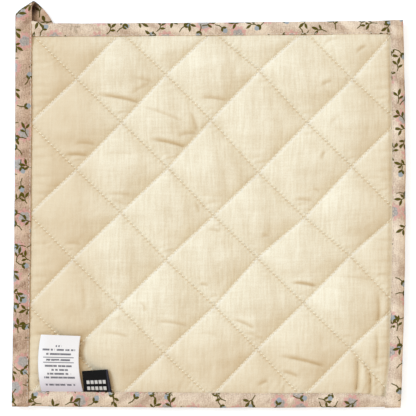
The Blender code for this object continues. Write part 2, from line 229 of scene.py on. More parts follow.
def bell(value, middle, width):
    """A smooth hump: 1 at its middle and near 0 two widths away."""
    return np.exp(-(((value - middle) / width) ** 2))


def lengths(vectors):
    """Length of each vector of an array."""
    return np.sqrt((vectors * vectors).sum(-1))


def bottom_hem(x):
    """Depth of the bottom tape: deeper towards the labels, shallower by the right corner."""
    rise = HEM_RISE * smooth(0.5 - x / (PAD_WIDTH * 0.8))
    return BOTTOM_LAP + rise - 1.7 * MM * smooth((x - 78 * MM) / (14 * MM))


def right_hem(y):
    """Depth of the right tape, which spreads by the lower corner."""
    return RIGHT_LAP + 1.5 * MM * smooth((-y - 72 * MM) / (26 * MM))


def lay_flat(x, y):
    """Move pattern points to where the soft pad lies, before its shift to the frame's origin."""
    across = x / (PAD_WIDTH / 2)
    along = y / (PAD_HEIGHT / 2)
    slope = (TOP_SLOPE + BOTTOM_SLOPE) / 2 + (TOP_SLOPE - BOTTOM_SLOPE) / 2 * along
    level = np.maximum(0.0, 1 - along * along)
    upright = np.maximum(0.0, 1 - across * across)
    bow = RIGHT_BOW * np.maximum(0.0, across) * level
    slump = LEFT_SLUMP * np.maximum(0.0, -across) * (along + 1.4 * level - 0.3)
    sag = np.where(along < 0, BOTTOM_SAG, TOP_SAG) * along ** 6 * upright
    return x + LEAN * along + bow + slump, y + slope * across - sag


def find_shift():
    """How far the pattern's middle lies from the frame's origin, from the cover's box."""
    low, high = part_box("cream_cover")
    left = LEFT_EDGE + COVER_INSET
    top = TOP_EDGE - COVER_INSET
    along = -(BOTTOM_EDGE + COVER_INSET) / (PAD_HEIGHT / 2)
    shift_x = low[0] - (left - LEAN * along)
    shift_y = high[1] - (top + TOP_SLOPE * (RIGHT_EDGE - COVER_INSET) / (PAD_WIDTH / 2))
    return shift_x, shift_y


SHIFT_X, SHIFT_Y = find_shift()


def lay(x, y):
    """Move pattern points to their places in the frame."""
    flat_x, flat_y = lay_flat(x, y)
    return flat_x + SHIFT_X, flat_y + SHIFT_Y


# Shader graphs from plain formulas


class Field:
    """A shader value that can be used in arithmetic."""

    def __init__(self, graph, socket):
        self.graph = graph
        self.socket = socket

    def __add__(self, other):
        return self.graph.math("ADD", self, other)

    def __sub__(self, other):
        return self.graph.math("SUBTRACT", self, other)

    def __mul__(self, other):
        return self.graph.math("MULTIPLY", self, other)

    def __radd__(self, other):
        return self.graph.math("ADD", other, self)

    def __rsub__(self, other):
        return self.graph.math("SUBTRACT", other, self)

    def __rmul__(self, other):
        return self.graph.math("MULTIPLY", other, self)


class Graph:
    """Builds a material's nodes."""

    def __init__(self, name):
        self.material = bpy.data.materials.new(name)
        self.material.use_nodes = True
        self.tree = self.material.node_tree
        self.shader = self.tree.nodes["Principled BSDF"]

    def plug(self, value, socket):
        """Link a field to a socket, or set the socket to a constant."""
        if isinstance(value, Field):
            self.tree.links.new(value.socket, socket)
        else:
            socket.default_value = value

    def node(self, kind, inputs=None, **settings):
        """Add a node, set it up and plug its inputs by name or index."""
        node = self.tree.nodes.new(kind)
        for key, value in settings.items():
            setattr(node, key, value)
        for key, value in (inputs or {}).items():
            self.plug(value, node.inputs[key])
        return node

    def math(self, operation, *values):
        """One step of arithmetic."""
        node = self.node("ShaderNodeMath", operation=operation)
        for index, value in enumerate(values):
            self.plug(value, node.inputs[index])
        return Field(self, node.outputs[0])

    def cos(self, value):
        return self.math("COSINE", value)

    def sin(self, value):
        return self.math("SINE", value)

    def abs(self, value):
        return self.math("ABSOLUTE", value)

    def largest(self, *values):
        result = values[0]
        for value in values[1:]:
            result = self.math("MAXIMUM", result, value)
        return result

    def step(self, value, low, high):
        """0 below low, 1 above high and a smooth ramp between; low may be the larger."""
        node = self.node(
            "ShaderNodeMapRange",
            {"Value": value, "From Min": low, "From Max": high, "To Min": 0.0, "To Max": 1.0},
            interpolation_type="SMOOTHSTEP",
        )
        return Field(self, node.outputs["Result"])

    def split(self, vector):
        """The x, y and z of a vector."""
        node = self.node("ShaderNodeSeparateXYZ", {"Vector": vector})
        return [Field(self, output) for output in node.outputs]

    def join(self, x, y, z=0.0):
        """A vector of three values."""
        node = self.node("ShaderNodeCombineXYZ", {"X": x, "Y": y, "Z": z})
        return Field(self, node.outputs[0])

    def uv(self, name):
        """Coordinates of a named UV map, as x and y in mm."""
        node = self.node("ShaderNodeUVMap", uv_map=name)
        x, y = self.split(Field(self, node.outputs[0]))[:2]
        return x * UV_SPAN_MM, y * UV_SPAN_MM

    def place(self):
        """Coordinates of the object itself."""
        return Field(self, self.node("ShaderNodeTexCoord").outputs["Object"])

    def noise(self, vector, scale, detail, roughness=0.5):
        """Smooth noise around 0.5."""
        node = self.node(
            "ShaderNodeTexNoise",
            {"Vector": vector, "Scale": scale, "Detail": detail, "Roughness": roughness},
            noise_dimensions="3D",
        )
        return Field(self, node.outputs["Fac"])

    def grain(self, x, y, layer, detail, roughness=0.5):
        """Noise at flat coordinates in units of its own grain, on one of many unlike layers."""
        return self.noise(self.join(x, y, layer), 1.0, detail, roughness)

    def mix(self, share, first, second):
        """Blend two colours."""
        node = self.node("ShaderNodeMix", data_type="RGBA")
        self.plug(share, node.inputs["Factor"])
        colours = [socket for socket in node.inputs if socket.type == "RGBA"]
        self.plug(first, colours[0])
        self.plug(second, colours[1])
        output = next(socket for socket in node.outputs if socket.type == "RGBA")
        return Field(self, output)

    def bump(self, height, distance):
        """Raise the surface by height times distance, in metres."""
        node = self.node("ShaderNodeBump", {"Height": height, "Strength": 1.0, "Distance": distance})
        self.tree.links.new(node.outputs["Normal"], self.shader.inputs["Normal"])

    def finish(self, colour, roughness, sheen=0.0, gloss=0.15):
        """Set the surface's colour, roughness, sheen and gloss, and give the material."""
        self.plug(colour, self.shader.inputs["Base Color"])
        self.shader.inputs["Roughness"].default_value = roughness
        self.shader.inputs["Specular IOR Level"].default_value = gloss
        self.shader.inputs["Sheen Weight"].default_value = sheen
        self.shader.inputs["Sheen Roughness"].default_value = 0.5
        return self.material


def woven(graph, x, y, pitch):
    """Height of a plain weave: threads along x and y passing over each other."""
    turn = 2 * math.pi / pitch
    return graph.sin(x * turn) * graph.sin(y * turn)


def seam_distance(graph, place, cells=1.0):
    """Distance in mm to the nearest of a set of lines one seam spacing apart, or a part of it."""
    pitch = SEAM_SPACING / MM / cells
    return graph.abs(graph.math("PINGPONG", place + 50 * pitch, pitch / 2))


def cream_material():
    """Unbleached plain cotton with slubs along its threads, darker and warmer near three edges, with
    painted shade in its needle holes, its creases and beside its seams, labels and tapes, and a painted
    highlight beside one set of seams.
    """
    graph = Graph("cream_cotton")
    x, y = graph.uv("cloth")
    x = x - UV_SPAN_MM / 2
    y = y - UV_SPAN_MM / 2
    slub = graph.grain(x * 0.95, y * 0.08, 0.0, 3.0)
    weft = graph.grain(x * 0.07, y * 0.9, 7.0, 3.0)
    cloud = graph.grain(x * 0.06, y * 0.06, 3.0, 3.0)
    fibre = graph.grain(x * 1.6, y * 1.6, 11.0, 3.0)
    tone = slub * 0.32 + weft * 0.15 + cloud * 0.26 + fibre * 0.27
    colour = graph.mix(graph.step(tone, 0.36, 0.64), (0.795, 0.683, 0.485, 1), (0.937, 0.86, 0.67, 1))
    # Darker and warmer cloth towards the left, bottom and right edges
    darker_near_edges = graph.largest(
        graph.step(x, -46.0, -74.0) * 0.60,
        graph.step(y, -46.0, -78.0) * 0.42,
        graph.step(x, 64.0, 86.0) * 0.26,
    )
    colour = graph.mix(darker_near_edges, colour, (0.74, 0.58, 0.37, 1))

    from_x = x - QUILT_OFFSET[0] / MM
    from_y = y - QUILT_OFFSET[1] / MM
    rising = (from_x - from_y) * math.sqrt(0.5)
    falling = (from_x + from_y) * math.sqrt(0.5)
    to_falling = seam_distance(graph, falling)
    half = SEAM_SPACING / MM / 2
    past_rising = graph.math("WRAP", rising, half, -half)
    past_falling = graph.math("WRAP", falling, half, -half)
    to_hole = seam_distance(graph, rising, FINE_CELLS / STITCH_CELLS)
    hole = graph.step(graph.math("SQRT", to_falling * to_falling + to_hole * to_hole), 0.40, 0.12)
    # Narrow bands just on the shaded side of each seam
    shade_beside_rising = graph.step(past_rising, -1.5, -0.2) * graph.step(past_rising, 0.15, -0.1)
    shade_beside_falling = graph.step(past_falling, -1.3, -0.3) * graph.step(past_falling, 0.15, -0.1)
    inside = graph.step(graph.largest(graph.abs(x), graph.abs(y)), 92.0, 91.0)
    # Painted highlight on the lit side of the rising seams, away from the pad's edges
    lit = graph.step(past_rising, 2.4, 0.3) * graph.step(past_rising, 0.0, 0.2) * inside
    colour = graph.mix(lit * 0.4, colour, (0.955, 0.90, 0.79, 1))
    # Painted shade in the creases and on the cloth close beside the labels and the side tapes, read from
    # a UV map
    closed = graph.uv("painted_shade")[0]
    colour = graph.mix(closed * 0.68, colour, (0.58, 0.39, 0.175, 1))
    # Painted shade in those bands, golden brown
    painted_seam_shade = graph.largest(shade_beside_rising * 0.22, shade_beside_falling * 0.38) * inside
    colour = graph.mix(painted_seam_shade, colour, (0.70, 0.49, 0.25, 1))
    # Painted shade in the needle holes, broken up by the fibre
    painted_hole_shade = hole * graph.step(fibre, 0.46, 0.66) * 0.45 * inside
    colour = graph.mix(painted_hole_shade, colour, (0.42, 0.27, 0.12, 1))
    height = woven(graph, x, y, 0.55) * 0.22 + slub * 0.6 + weft * 0.45 + fibre * 0.8
    graph.bump(height, 0.12 * MM)
    return graph.finish(colour, 0.9)


def turned(graph, x, y, angle):
    """Coordinates in a frame turned by a constant angle."""
    cosine = math.cos(angle)
    sine = math.sin(angle)
    return x * cosine + y * sine, y * cosine - x * sine


def leaf(graph, x, y, base, angle, length, width):
    """Cover of a pointed leaf that grows from a base point, in mm."""
    along, across = turned(graph, x - base[0], y - base[1], math.radians(angle))
    share = along * (1 / length)
    belly = share * (1.0 - share) * (2 * width)
    inside = belly - graph.abs(across)
    return graph.step(inside, -0.08, 0.10) * graph.step(share, 0.0, 0.05)


def stem(graph, x, y, start, end, width):
    """Cover of a thin straight stem between two points, in mm."""
    run = Vector((end[0] - start[0], end[1] - start[1]))
    along, across = turned(graph, x - start[0], y - start[1], math.atan2(run.y, run.x))
    outside = graph.largest(graph.abs(across), -1.0 * along, along - run.length)
    return graph.step(outside, width / 2 + 0.08, width / 2 - 0.08)


def motif_place(graph, x, y, cell, drift, randomness):
    """Coordinates in mm round the nearest of a scatter of motifs, each turned at random.

    With them come two random values of that motif.
    """
    place = graph.join((x + drift[0]) * (1 / cell), (y + drift[1]) * (1 / cell))
    node = graph.node(
        "ShaderNodeTexVoronoi",
        {"Vector": place, "Scale": 1.0, "Randomness": randomness},
        voronoi_dimensions="2D",
        feature="F1",
    )
    near = graph.split(Field(graph, node.outputs["Position"]))
    here = graph.split(place)
    red, green, blue = graph.split(Field(graph, node.outputs["Color"]))
    local_x = (here[0] - near[0]) * cell
    local_y = (here[1] - near[1]) * cell
    angle = red * (2 * math.pi)
    cosine = graph.cos(angle)
    sine = graph.sin(angle)
    return local_x * cosine + local_y * sine, local_y * cosine - local_x * sine, green, blue


def flower(graph, x, y, green):
    """Covers of a blue-grey flower head and the ragged pink petals round it."""
    distance = graph.math("SQRT", x * x + y * y)
    angle = graph.math("ARCTAN2", y, x)
    fray = graph.noise(graph.join(x, y, green * 20.0), 1.1, 4.0, 0.75)
    spikes = graph.abs(graph.sin(angle * 4.5 + fray * 5.0))
    halo_edge = 3.1 + spikes * 1.6 + (fray - 0.5) * 4.0
    halo = graph.step(distance - halo_edge, 0.4, -0.4)
    head_edge = 2.35 + graph.abs(graph.sin(angle * 2.5)) * 0.6 + (fray - 0.5) * 2.6
    head = graph.step(distance - head_edge, 0.3, -0.3)
    return head, halo, fray


def print_material(name, ground_low, ground_high, no_flower, no_sprig):
    """Plain cotton with a ditsy print: blue-grey flowers, buds and dark olive sprigs.

    No_flower and no_sprig are the shares of their places that stay empty.
    """
    graph = Graph(name)
    x, y = graph.uv("cloth")

    fx, fy, green, blue = motif_place(graph, x, y, 14.5, (3.0, 5.0), 0.7)
    head, halo, fray = flower(graph, fx, fy, green)
    shown = graph.step(blue, no_flower, no_flower + 0.02)
    head = head * shown
    halo = halo * shown

    bx, by, _, bud_blue = motif_place(graph, x, y, 10.5, (41.0, 17.0), 0.8)
    bud_shown = graph.step(bud_blue, 0.36, 0.38)
    bud_far = graph.math("SQRT", bx * bx + (by - 1.1) * (by - 1.1) * 0.55)
    bud = graph.step(bud_far, 1.45, 1.2) * bud_shown
    calyx = graph.largest(
        leaf(graph, bx, by, (0.1, -0.9), 132, 2.7, 1.35),
        leaf(graph, bx, by, (-0.1, -0.9), 50, 2.5, 1.25),
        stem(graph, bx, by, (0.0, -0.7), (0.3, -2.6), 0.56),
        stem(graph, bx, by, (0.3, -2.5), (1.3, -4.2), 0.50),
    ) * bud_shown

    sx, sy, _, sprig_blue = motif_place(graph, x, y, 8.6, (11.0, 29.0), 0.75)
    sprig_shown = graph.step(sprig_blue, no_sprig, no_sprig + 0.02)
    sprig = graph.largest(
        leaf(graph, sx, sy, (0.1, 0.3), 66, 4.1, 1.55),
        leaf(graph, sx, sy, (-0.1, 0.3), 133, 3.6, 1.4),
        leaf(graph, sx, sy, (0.0, -1.2), 24, 3.0, 1.3),
        stem(graph, sx, sy, (0.0, -1.6), (0.0, 0.5), 0.54),
        stem(graph, sx, sy, (-1.0, -3.6), (0.0, -1.5), 0.50),
    ) * sprig_shown

    cloud = graph.grain(x * 0.12, y * 0.12, 2.0, 3.0)
    speck = graph.grain(x * 1.5, y * 1.5, 5.0, 3.0, 0.6)
    threads = graph.grain(x * 2.4, y * 0.25, 9.0, 2.0)
    # Broad diagonal bands of painted light and shade, as from twists in the tape; the other terms are
    # the cloth's own uneven tone
    painted_twist_shading = graph.grain(x * 0.10 + y * 0.16, y * 0.05 - x * 0.03, 21.0, 2.0)
    tone = cloud * 0.2 + painted_twist_shading * 0.3 + speck * 0.3 + threads * 0.2
    colour = graph.mix(graph.step(tone, 0.34, 0.62), ground_low, ground_high)
    dust = graph.grain(x * 2.6, y * 2.6, 13.0, 2.0, 0.7)
    colour = graph.mix(graph.step(dust, 0.56, 0.74) * 0.30, colour, (0.42, 0.24, 0.14, 1))
    halo_share = halo * graph.step(speck, 0.25, 0.50) * 0.8
    colour = graph.mix(halo_share, colour, (0.72, 0.36, 0.33, 1))
    ragged = graph.step(fray + speck * 0.4, 0.5, 0.9)
    grey = graph.mix(ragged, (0.29, 0.28, 0.265, 1), (0.56, 0.52, 0.46, 1))
    colour = graph.mix(head * 0.95, colour, grey)
    blue_grey = graph.mix(speck, (0.26, 0.32, 0.36, 1), (0.44, 0.47, 0.48, 1))
    colour = graph.mix(bud * 0.95, colour, blue_grey)
    olive = graph.mix(speck, (0.060, 0.050, 0.0015, 1), (0.120, 0.097, 0.004, 1))
    colour = graph.mix(graph.largest(sprig, calyx) * 0.97, colour, olive)

    # Painted shade, near black, deep inside the hanging loop's throat
    closed = graph.uv("painted_shade")[0]
    colour = graph.mix(closed, colour, (0.025, 0.007, 0.003, 1))
    height = woven(graph, x, y, 0.5) * 0.35 + speck * 0.7 + threads * 0.5
    graph.bump(height, 0.08 * MM)
    return graph.finish(colour, 0.9, gloss=0.04)


def thread_material(name, low, high):
    """Sewing thread, uneven in tone."""
    graph = Graph(name)
    tone = graph.noise(graph.place(), 900.0, 2.0)
    colour = graph.mix(graph.step(tone, 0.3, 0.7), low, high)
    graph.bump(tone, 0.05 * MM)
    return graph.finish(colour, 0.6, 0.1)


def wadding_material():
    """Loose off-white cotton fibre."""
    graph = Graph("cotton_wadding")
    tone = graph.noise(graph.place(), 400.0, 4.0)
    colour = graph.mix(tone, (0.80, 0.78, 0.72, 1), (0.90, 0.88, 0.84, 1))
    graph.bump(tone, 0.3 * MM)
    return graph.finish(colour, 0.95)


def satin_material():
    """White satin ribbon with plain broken bars and rules where a label has its lines."""
    graph = Graph("white_satin")
    x, y = graph.uv("cloth")
    bars = graph.largest(*(
        graph.step(graph.abs(y - place), 0.55, 0.42) * graph.step(graph.abs(x), half + 0.1, half - 0.1)
        for place, half in LABEL_BARS
    ))
    breaks = graph.noise(graph.join(x, graph.math("FLOOR", y * 0.5) * 3.7), 0.9, 0.0)
    grain = graph.grain(x * 3.0, y * 2.5, 4.0, 0.0)
    bars = bars * graph.step(breaks, 0.36, 0.39) * (0.55 + grain * 0.6)
    rules = graph.largest(*(
        graph.step(graph.abs(y - place), 0.28, 0.18) * graph.step(graph.abs(x), 8.2, 8.0)
        for place in LABEL_RULES
    ))
    ribs = graph.grain(x * 6.0, y * 0.6, 1.0, 2.0)
    colour = graph.mix(ribs, (0.86, 0.835, 0.82, 1), (0.94, 0.915, 0.895, 1))
    # Painted shade: the label greys to lavender towards its sewn-in end, which slopes away from the lamp
    colour = graph.mix(graph.step(y, 11.0, 0.0) * 0.75, colour, (0.62, 0.57, 0.66, 1))
    colour = graph.mix(bars * 0.95, colour, (0.05, 0.05, 0.075, 1))
    colour = graph.mix(rules * 0.85, colour, (0.10, 0.10, 0.13, 1))
    graph.bump(ribs, 0.05 * MM)
    return graph.finish(colour, 0.45, 0.05)


def tab_material():
    """Black woven ribbon with two rows of small plain white blocks."""
    graph = Graph("black_woven")
    x, y = graph.uv("cloth")
    block = graph.abs(graph.math("PINGPONG", x + 43.05, 2.1) - 1.05)
    blocks = graph.step(block, 0.84, 0.72) * graph.step(graph.abs(x), 5.2, 5.0)
    rows = graph.largest(*(graph.step(graph.abs(y - place), 1.0, 0.8) * blocks for place in TAB_ROWS))
    weave = graph.grain(x * 4.0, y * 9.0, 0.0, 1.0)
    # Painted highlight along the tab's right edge
    right_edge_highlight = graph.step(x, 5.7, 6.1)
    colour = graph.mix(weave, (0.002, 0.002, 0.002, 1), (0.008, 0.007, 0.006, 1))
    colour = graph.mix(right_edge_highlight * 0.8, colour, (0.05, 0.048, 0.065, 1))
    colour = graph.mix(rows * 0.9, colour, (0.74, 0.73, 0.70, 1))
    graph.bump(weave + rows * 0.8, 0.08 * MM)
    return graph.finish(colour, 0.8)


# Quilted covers


class Cover:
    """A grid of cloth along the seams: even and drifted places, and which points are held."""

    def __init__(self, cells):
        self.cells = cells
        step = SEAM_SPACING / cells
        reach = PAD_WIDTH / 2 + abs(QUILT_OFFSET[0]) + PAD_HEIGHT / 2 + abs(QUILT_OFFSET[1])
        self.half = math.ceil(reach / math.sqrt(2) / step / 2) * 2
        index = np.arange(-self.half, self.half + 1)
        rising, falling = np.meshgrid(index, index, indexing="ij")
        self.rising = rising
        self.falling = falling
        turn = math.sqrt(0.5) * step
        self.x = QUILT_OFFSET[0] + (rising + falling) * turn
        self.y = QUILT_OFFSET[1] + (falling - rising) * turn
        drift_x, drift_y = seam_drift(rising / cells, falling / cells)
        self.warped_x = self.x + drift_x
        self.warped_y = self.y + drift_y
        self.inside = (
            (np.abs(self.x) < PAD_WIDTH / 2 - COVER_INSET)
            & (np.abs(self.y) < PAD_HEIGHT / 2 - COVER_INSET)
        )
        self.seam = (rising % cells == 0) | (falling % cells == 0)
        self.open_share = edge_share(self.warped_x, self.warped_y)
        self.free = self.inside & ~self.seam & (self.open_share > 0)

    def off_seam(self, index):
        """How far the grid's lines of one direction lie from their nearest seam."""
        half = self.cells // 2
        return np.abs((index + half) % self.cells - half) * SEAM_SPACING / self.cells


def seam_drift(rising, falling):
    """Drift of the sewn pattern at lattice places, blended between the crossings."""
    reach = 6
    table = np.zeros((2 * reach + 2, 2 * reach + 2, 2))
    for (column, row), drift in SEAM_DRIFT.items():
        table[(column - row) // 2 + reach, (column + row) // 2 + reach] = drift
    low_r = np.clip(np.floor(rising).astype(int), -reach, reach)
    low_f = np.clip(np.floor(falling).astype(int), -reach, reach)
    share_r = (rising - low_r)[..., None]
    share_f = (falling - low_f)[..., None]
    sides = []
    for column in (low_f + reach, low_f + reach + 1):
        near = table[low_r + reach, column] * (1 - share_r)
        sides.append(near + table[low_r + reach + 1, column] * share_r)
    drift = (sides[0] * (1 - share_f) + sides[1] * share_f) * MM
    return drift[..., 0], drift[..., 1]


def edge_share(x, y):
    """How far the quilting may rise at a point: 0 under the tapes, 1 well inside them."""
    share = np.ones_like(x)
    depths = (
        x - LEFT_EDGE - LEFT_LAP,
        RIGHT_EDGE - right_hem(y) - x,
        y - BOTTOM_EDGE - bottom_hem(x),
        TOP_EDGE - TOP_LAP - y,
    )
    for depth in depths:
        near = np.clip((depth + 0.5 * MM) / EDGE_RISE, 0.0, 1.0)
        share = share * near * (2 - near)
    return share


def puff(cover):
    """Height of the even quilting: 0 on a seam, 1 in the middle of a diamond."""
    p = (cover.rising % cover.cells) / cover.cells
    q = (cover.falling % cover.cells) / cover.cells
    return 16 * p * (1 - p) * q * (1 - q)


def ripples(cover, seed, count, wavelength, heading, spread):
    """Smooth ripples of about one wavelength, whose crests run near one heading."""
    draws = np.random.default_rng(seed)
    total = np.zeros_like(cover.x)
    for _ in range(count):
        angle = heading + math.pi / 2 + draws.normal(0, spread)
        turn = 2 * math.pi / (wavelength * draws.uniform(0.7, 1.4))
        phase = draws.uniform(0, 2 * math.pi)
        total += np.sin(turn * (cover.x * math.cos(angle) + cover.y * math.sin(angle)) + phase)
    return total / math.sqrt(count)


def pull(first, second, first_free, second_free, rest, stiffness, push_only):
    """Move two sets of linked cloth points towards their rest distance."""
    gap = second - first
    length = lengths(gap) + 1e-12
    error = (length - rest) * stiffness / length
    if push_only:
        error = np.minimum(error, 0.0)
    share = error / np.maximum(first_free + second_free, 1e-6)
    move = gap * share[..., None]
    first += move * first_free[..., None]
    second -= move * second_free[..., None]


def relax(cover, points, rest_links, steps, pressure, outwards, floor):
    """Let the cloth settle: threads keep their length while the wadding pushes it out."""
    free = cover.free.astype(np.float64)
    speed = np.zeros_like(points)
    for _ in range(steps):
        normal = np.zeros_like(points)
        across = points[2:, 1:-1] - points[:-2, 1:-1]
        along = points[1:-1, 2:] - points[1:-1, :-2]
        facing = np.cross(across, along)
        size = lengths(facing) + 1e-15
        normal[1:-1, 1:-1] = facing / size[..., None] * outwards
        speed = speed * 0.9 + normal * (pressure * free * cover.open_share)[..., None]
        moved = points + speed
        for _ in range(PULL_ROUNDS):
            for first, second, rest, stiffness, push_only in rest_links:
                pull(moved[first], moved[second], free[first], free[second], rest, stiffness, push_only)
        if floor is not None:
            moved[..., 2] = np.maximum(moved[..., 2], floor)
        speed = moved - points
        points = moved
    return points


def links(cover, rest_points):
    """Thread links of the cloth: along x, along y, the bias and a stiffness against sharp bends."""
    everything = slice(None)
    size = cover.x.shape[0]
    table = []
    for start in (0, 1):
        count = (size - start) // 2
        low = slice(start, start + 2 * count - 1, 2)
        high = slice(start + 1, start + 2 * count, 2)
        table.append(((low, slice(None, -1)), (high, slice(1, None)), SLACK_X, 0.9, False))
        table.append(((high, slice(None, -1)), (low, slice(1, None)), SLACK_Y, 0.9, False))
        table.append(((low, everything), (high, everything), SLACK_BIAS, 0.35, False))
        table.append(((everything, low), (everything, high), SLACK_BIAS, 0.35, False))
    for start in (0, 1, 2, 3):
        low = slice(start, size - 2, 4)
        count = len(range(*low.indices(size)))
        high = slice(start + 2, start + 2 + 4 * (count - 1) + 1, 4)
        table.append(((low, slice(None, -2)), (high, slice(2, None)), None, 0.25, True))
        table.append(((high, slice(None, -2)), (low, slice(2, None)), None, 0.25, True))
    rest_links = []
    for first, second, slack, stiffness, push_only in table:
        rest = lengths(rest_points[second] - rest_points[first])
        calm = 0.1 + 0.9 * smooth(cover.open_share[first] * 1.2)
        rest = rest * (BEND_REST if slack is None else 1 + slack * calm)
        rest_links.append((first, second, rest, stiffness, push_only))
    return rest_links


def doubled(points):
    """Points of a grid with twice as many cells."""
    size = points.shape[0] * 2 - 1
    finer = np.zeros((size, size) + points.shape[2:])
    finer[::2, ::2] = points
    finer[1::2, ::2] = (points[:-1] + points[1:]) / 2
    finer[:, 1::2] = (finer[:, :-2:2] + finer[:, 2::2]) / 2
    return finer


def settle(seed, seam_z, edge_z, outwards, floor):
    """Relaxed cloth of one cover, with its grid."""
    cover = Cover(COARSE_CELLS)
    ground = ground_points(cover, seam_z, edge_z)
    points = ground.copy()
    wrinkle = 1 + 0.28 * ripples(cover, seed, 7, 11 * MM, math.radians(-12), 0.3)
    lift = PUFF_START * puff(cover) * cover.open_share * wrinkle * outwards
    points[..., 2] += np.where(cover.free, lift, 0.0)
    points = relax(cover, points, links(cover, ground), 60, 0.012 * MM, outwards, floor)
    fine = Cover(FINE_CELLS)
    finer = doubled(points)
    extra = (finer.shape[0] - fine.x.shape[0]) // 2
    if extra > 0:
        finer = finer[extra:-extra, extra:-extra]
    ground = ground_points(fine, seam_z, edge_z)
    finer = np.where(fine.free[..., None], finer, ground)
    return fine, relax(fine, finer, links(fine, ground), 14, 0.004 * MM, outwards, floor)


def ground_points(cover, seam_z, edge_z):
    """The cloth before it puffs: level with the seams, and with the tapes near the edges."""
    level = edge_z + (seam_z - edge_z) * smooth(cover.open_share * 2)
    return np.stack([cover.warped_x, cover.warped_y, level], -1)


def add_stitch_gather(cover, points, outwards):
    """Pinch the cloth along the seams: a dip at each needle hole and a slant to each stitch."""
    out = points.copy()
    turn = math.sqrt(0.5)
    for along, across, side in (
        (cover.falling, cover.rising, (turn, -turn)),
        (cover.rising, cover.falling, (turn, turn)),
    ):
        fade = np.exp(-cover.off_seam(across) / GATHER_REACH) * smooth(cover.open_share * 3)
        phase = (along % STITCH_CELLS) / STITCH_CELLS
        hole = np.cos(2 * math.pi * phase)
        sway = np.sin(2 * math.pi * phase)
        out[..., 2] -= outwards * STITCH_DIP * hole * fade
        out[..., 0] += side[0] * STITCH_SLANT * sway * fade
        out[..., 1] += side[1] * STITCH_SLANT * sway * fade
    return out


def add_creases(cover, points):
    """Fold the plain cover along its creases: a sharp valley with a fuller upper side, and the painted
    shade in each crease.
    """
    x, y = lay(points[..., 0], points[..., 1])
    away = np.minimum(cover.off_seam(cover.rising), cover.off_seam(cover.falling))
    hold = smooth(away / (1.4 * MM)) * cover.free
    depth_total = np.zeros_like(x)
    shade = np.zeros_like(x)
    for x0, y0, x1, y1, depth, width in CREASES:
        run = np.array([x1 - x0, y1 - y0])
        length = math.hypot(*run)
        ahead = run / length
        along = ((x / MM - x0) * ahead[0] + (y / MM - y0) * ahead[1]) / length
        across = (y / MM - y0) * ahead[0] - (x / MM - x0) * ahead[1]
        across = across - 0.5 * np.sin(math.pi * along)
        reach = np.where(across > 0, 1.2, 0.6) * width
        envelope = smooth((along + 0.12) / 0.5) * smooth((1.12 - along) / 0.24)
        valley = depth * np.exp(-np.abs(across) / reach)
        fuller = 0.5 * depth * bell(across, 2.2 * width, 1.3 * width)
        depth_total += envelope * (valley - fuller) * 1.7
        # Painted shade in the crease, reaching further up its fuller side
        closed = bell(across, 0.2, np.where(across > 0.2, 1.1, 0.5))
        shade = np.maximum(shade, envelope * closed * min(1.0, depth * 1.7))
    out = points.copy()
    out[..., 2] -= depth_total * MM * hold
    return out, shade * hold


def side_groove(x, y):
    """How far the cloth is drawn in close beside the side tapes, more so at the right one."""
    right = (RIGHT_EDGE - right_hem(y) - x) / MM
    left = (x - LEFT_EDGE - LEFT_LAP) / MM
    return bell(right, 0.9, 0.85) + 0.4 * bell(left, 0.6, 0.8)


def add_lumps(cover, points, seed, outwards):
    """Slight unevenness of the filling under a cover, and the groove beside the side tapes."""
    out = points.copy()
    full = smooth(puff(cover) * 1.6) * cover.open_share
    broad = ripples(cover, seed, 14, 11 * MM, 0.0, 3.0)
    fine = ripples(cover, seed + 1, 18, 3.6 * MM, 1.2, 0.7)
    out[..., 2] -= outwards * 0.5 * MM * side_groove(cover.x, cover.y) * cover.inside
    out[..., 2] += outwards * full * (0.33 * MM * broad + 0.045 * MM * fine)
    return out


def add_object(name, data):
    """An object for a mesh, camera or lamp, linked to the scene."""
    obj = bpy.data.objects.new(name, data)
    bpy.context.scene.collection.objects.link(obj)
    return obj


def add_uv(mesh, name, u, v):
    """Give a mesh a UV map from values at each face corner."""
    layer = mesh.uv_layers.new(name=name)
    layer.data.foreach_set("uv", np.stack([u, v], -1).astype(np.float32).ravel())


def grid_object(name, verts, faces, uv_maps):
    """A smooth shaded mesh object of quads, with UVs given at the vertices."""
    mesh = bpy.data.meshes.new(name)
    mesh.from_pydata(verts.tolist(), [], faces.tolist())
    loops = np.empty(len(mesh.loops), dtype=np.int32)
    mesh.loops.foreach_get("vertex_index", loops)
    for uv_name, uv in uv_maps.items():
        add_uv(mesh, uv_name, uv[loops, 0], uv[loops, 1])
    mesh.shade_smooth()
    return add_object(name, mesh)


def numbered(quads):
    """Which points of a grid its chosen quads use, and each quad's corners among those points."""
    used = np.zeros((quads.shape[0] + 1, quads.shape[1] + 1), dtype=bool)
    used[:-1, :-1] |= quads
    used[1:, :-1] |= quads
    used[:-1, 1:] |= quads
    used[1:, 1:] |= quads
    number = np.cumsum(used.ravel()).reshape(used.shape) - 1
    places = (number[:-1, :-1], number[1:, :-1], number[1:, 1:], number[:-1, 1:])
    return used, np.stack([place[quads] for place in places], -1)


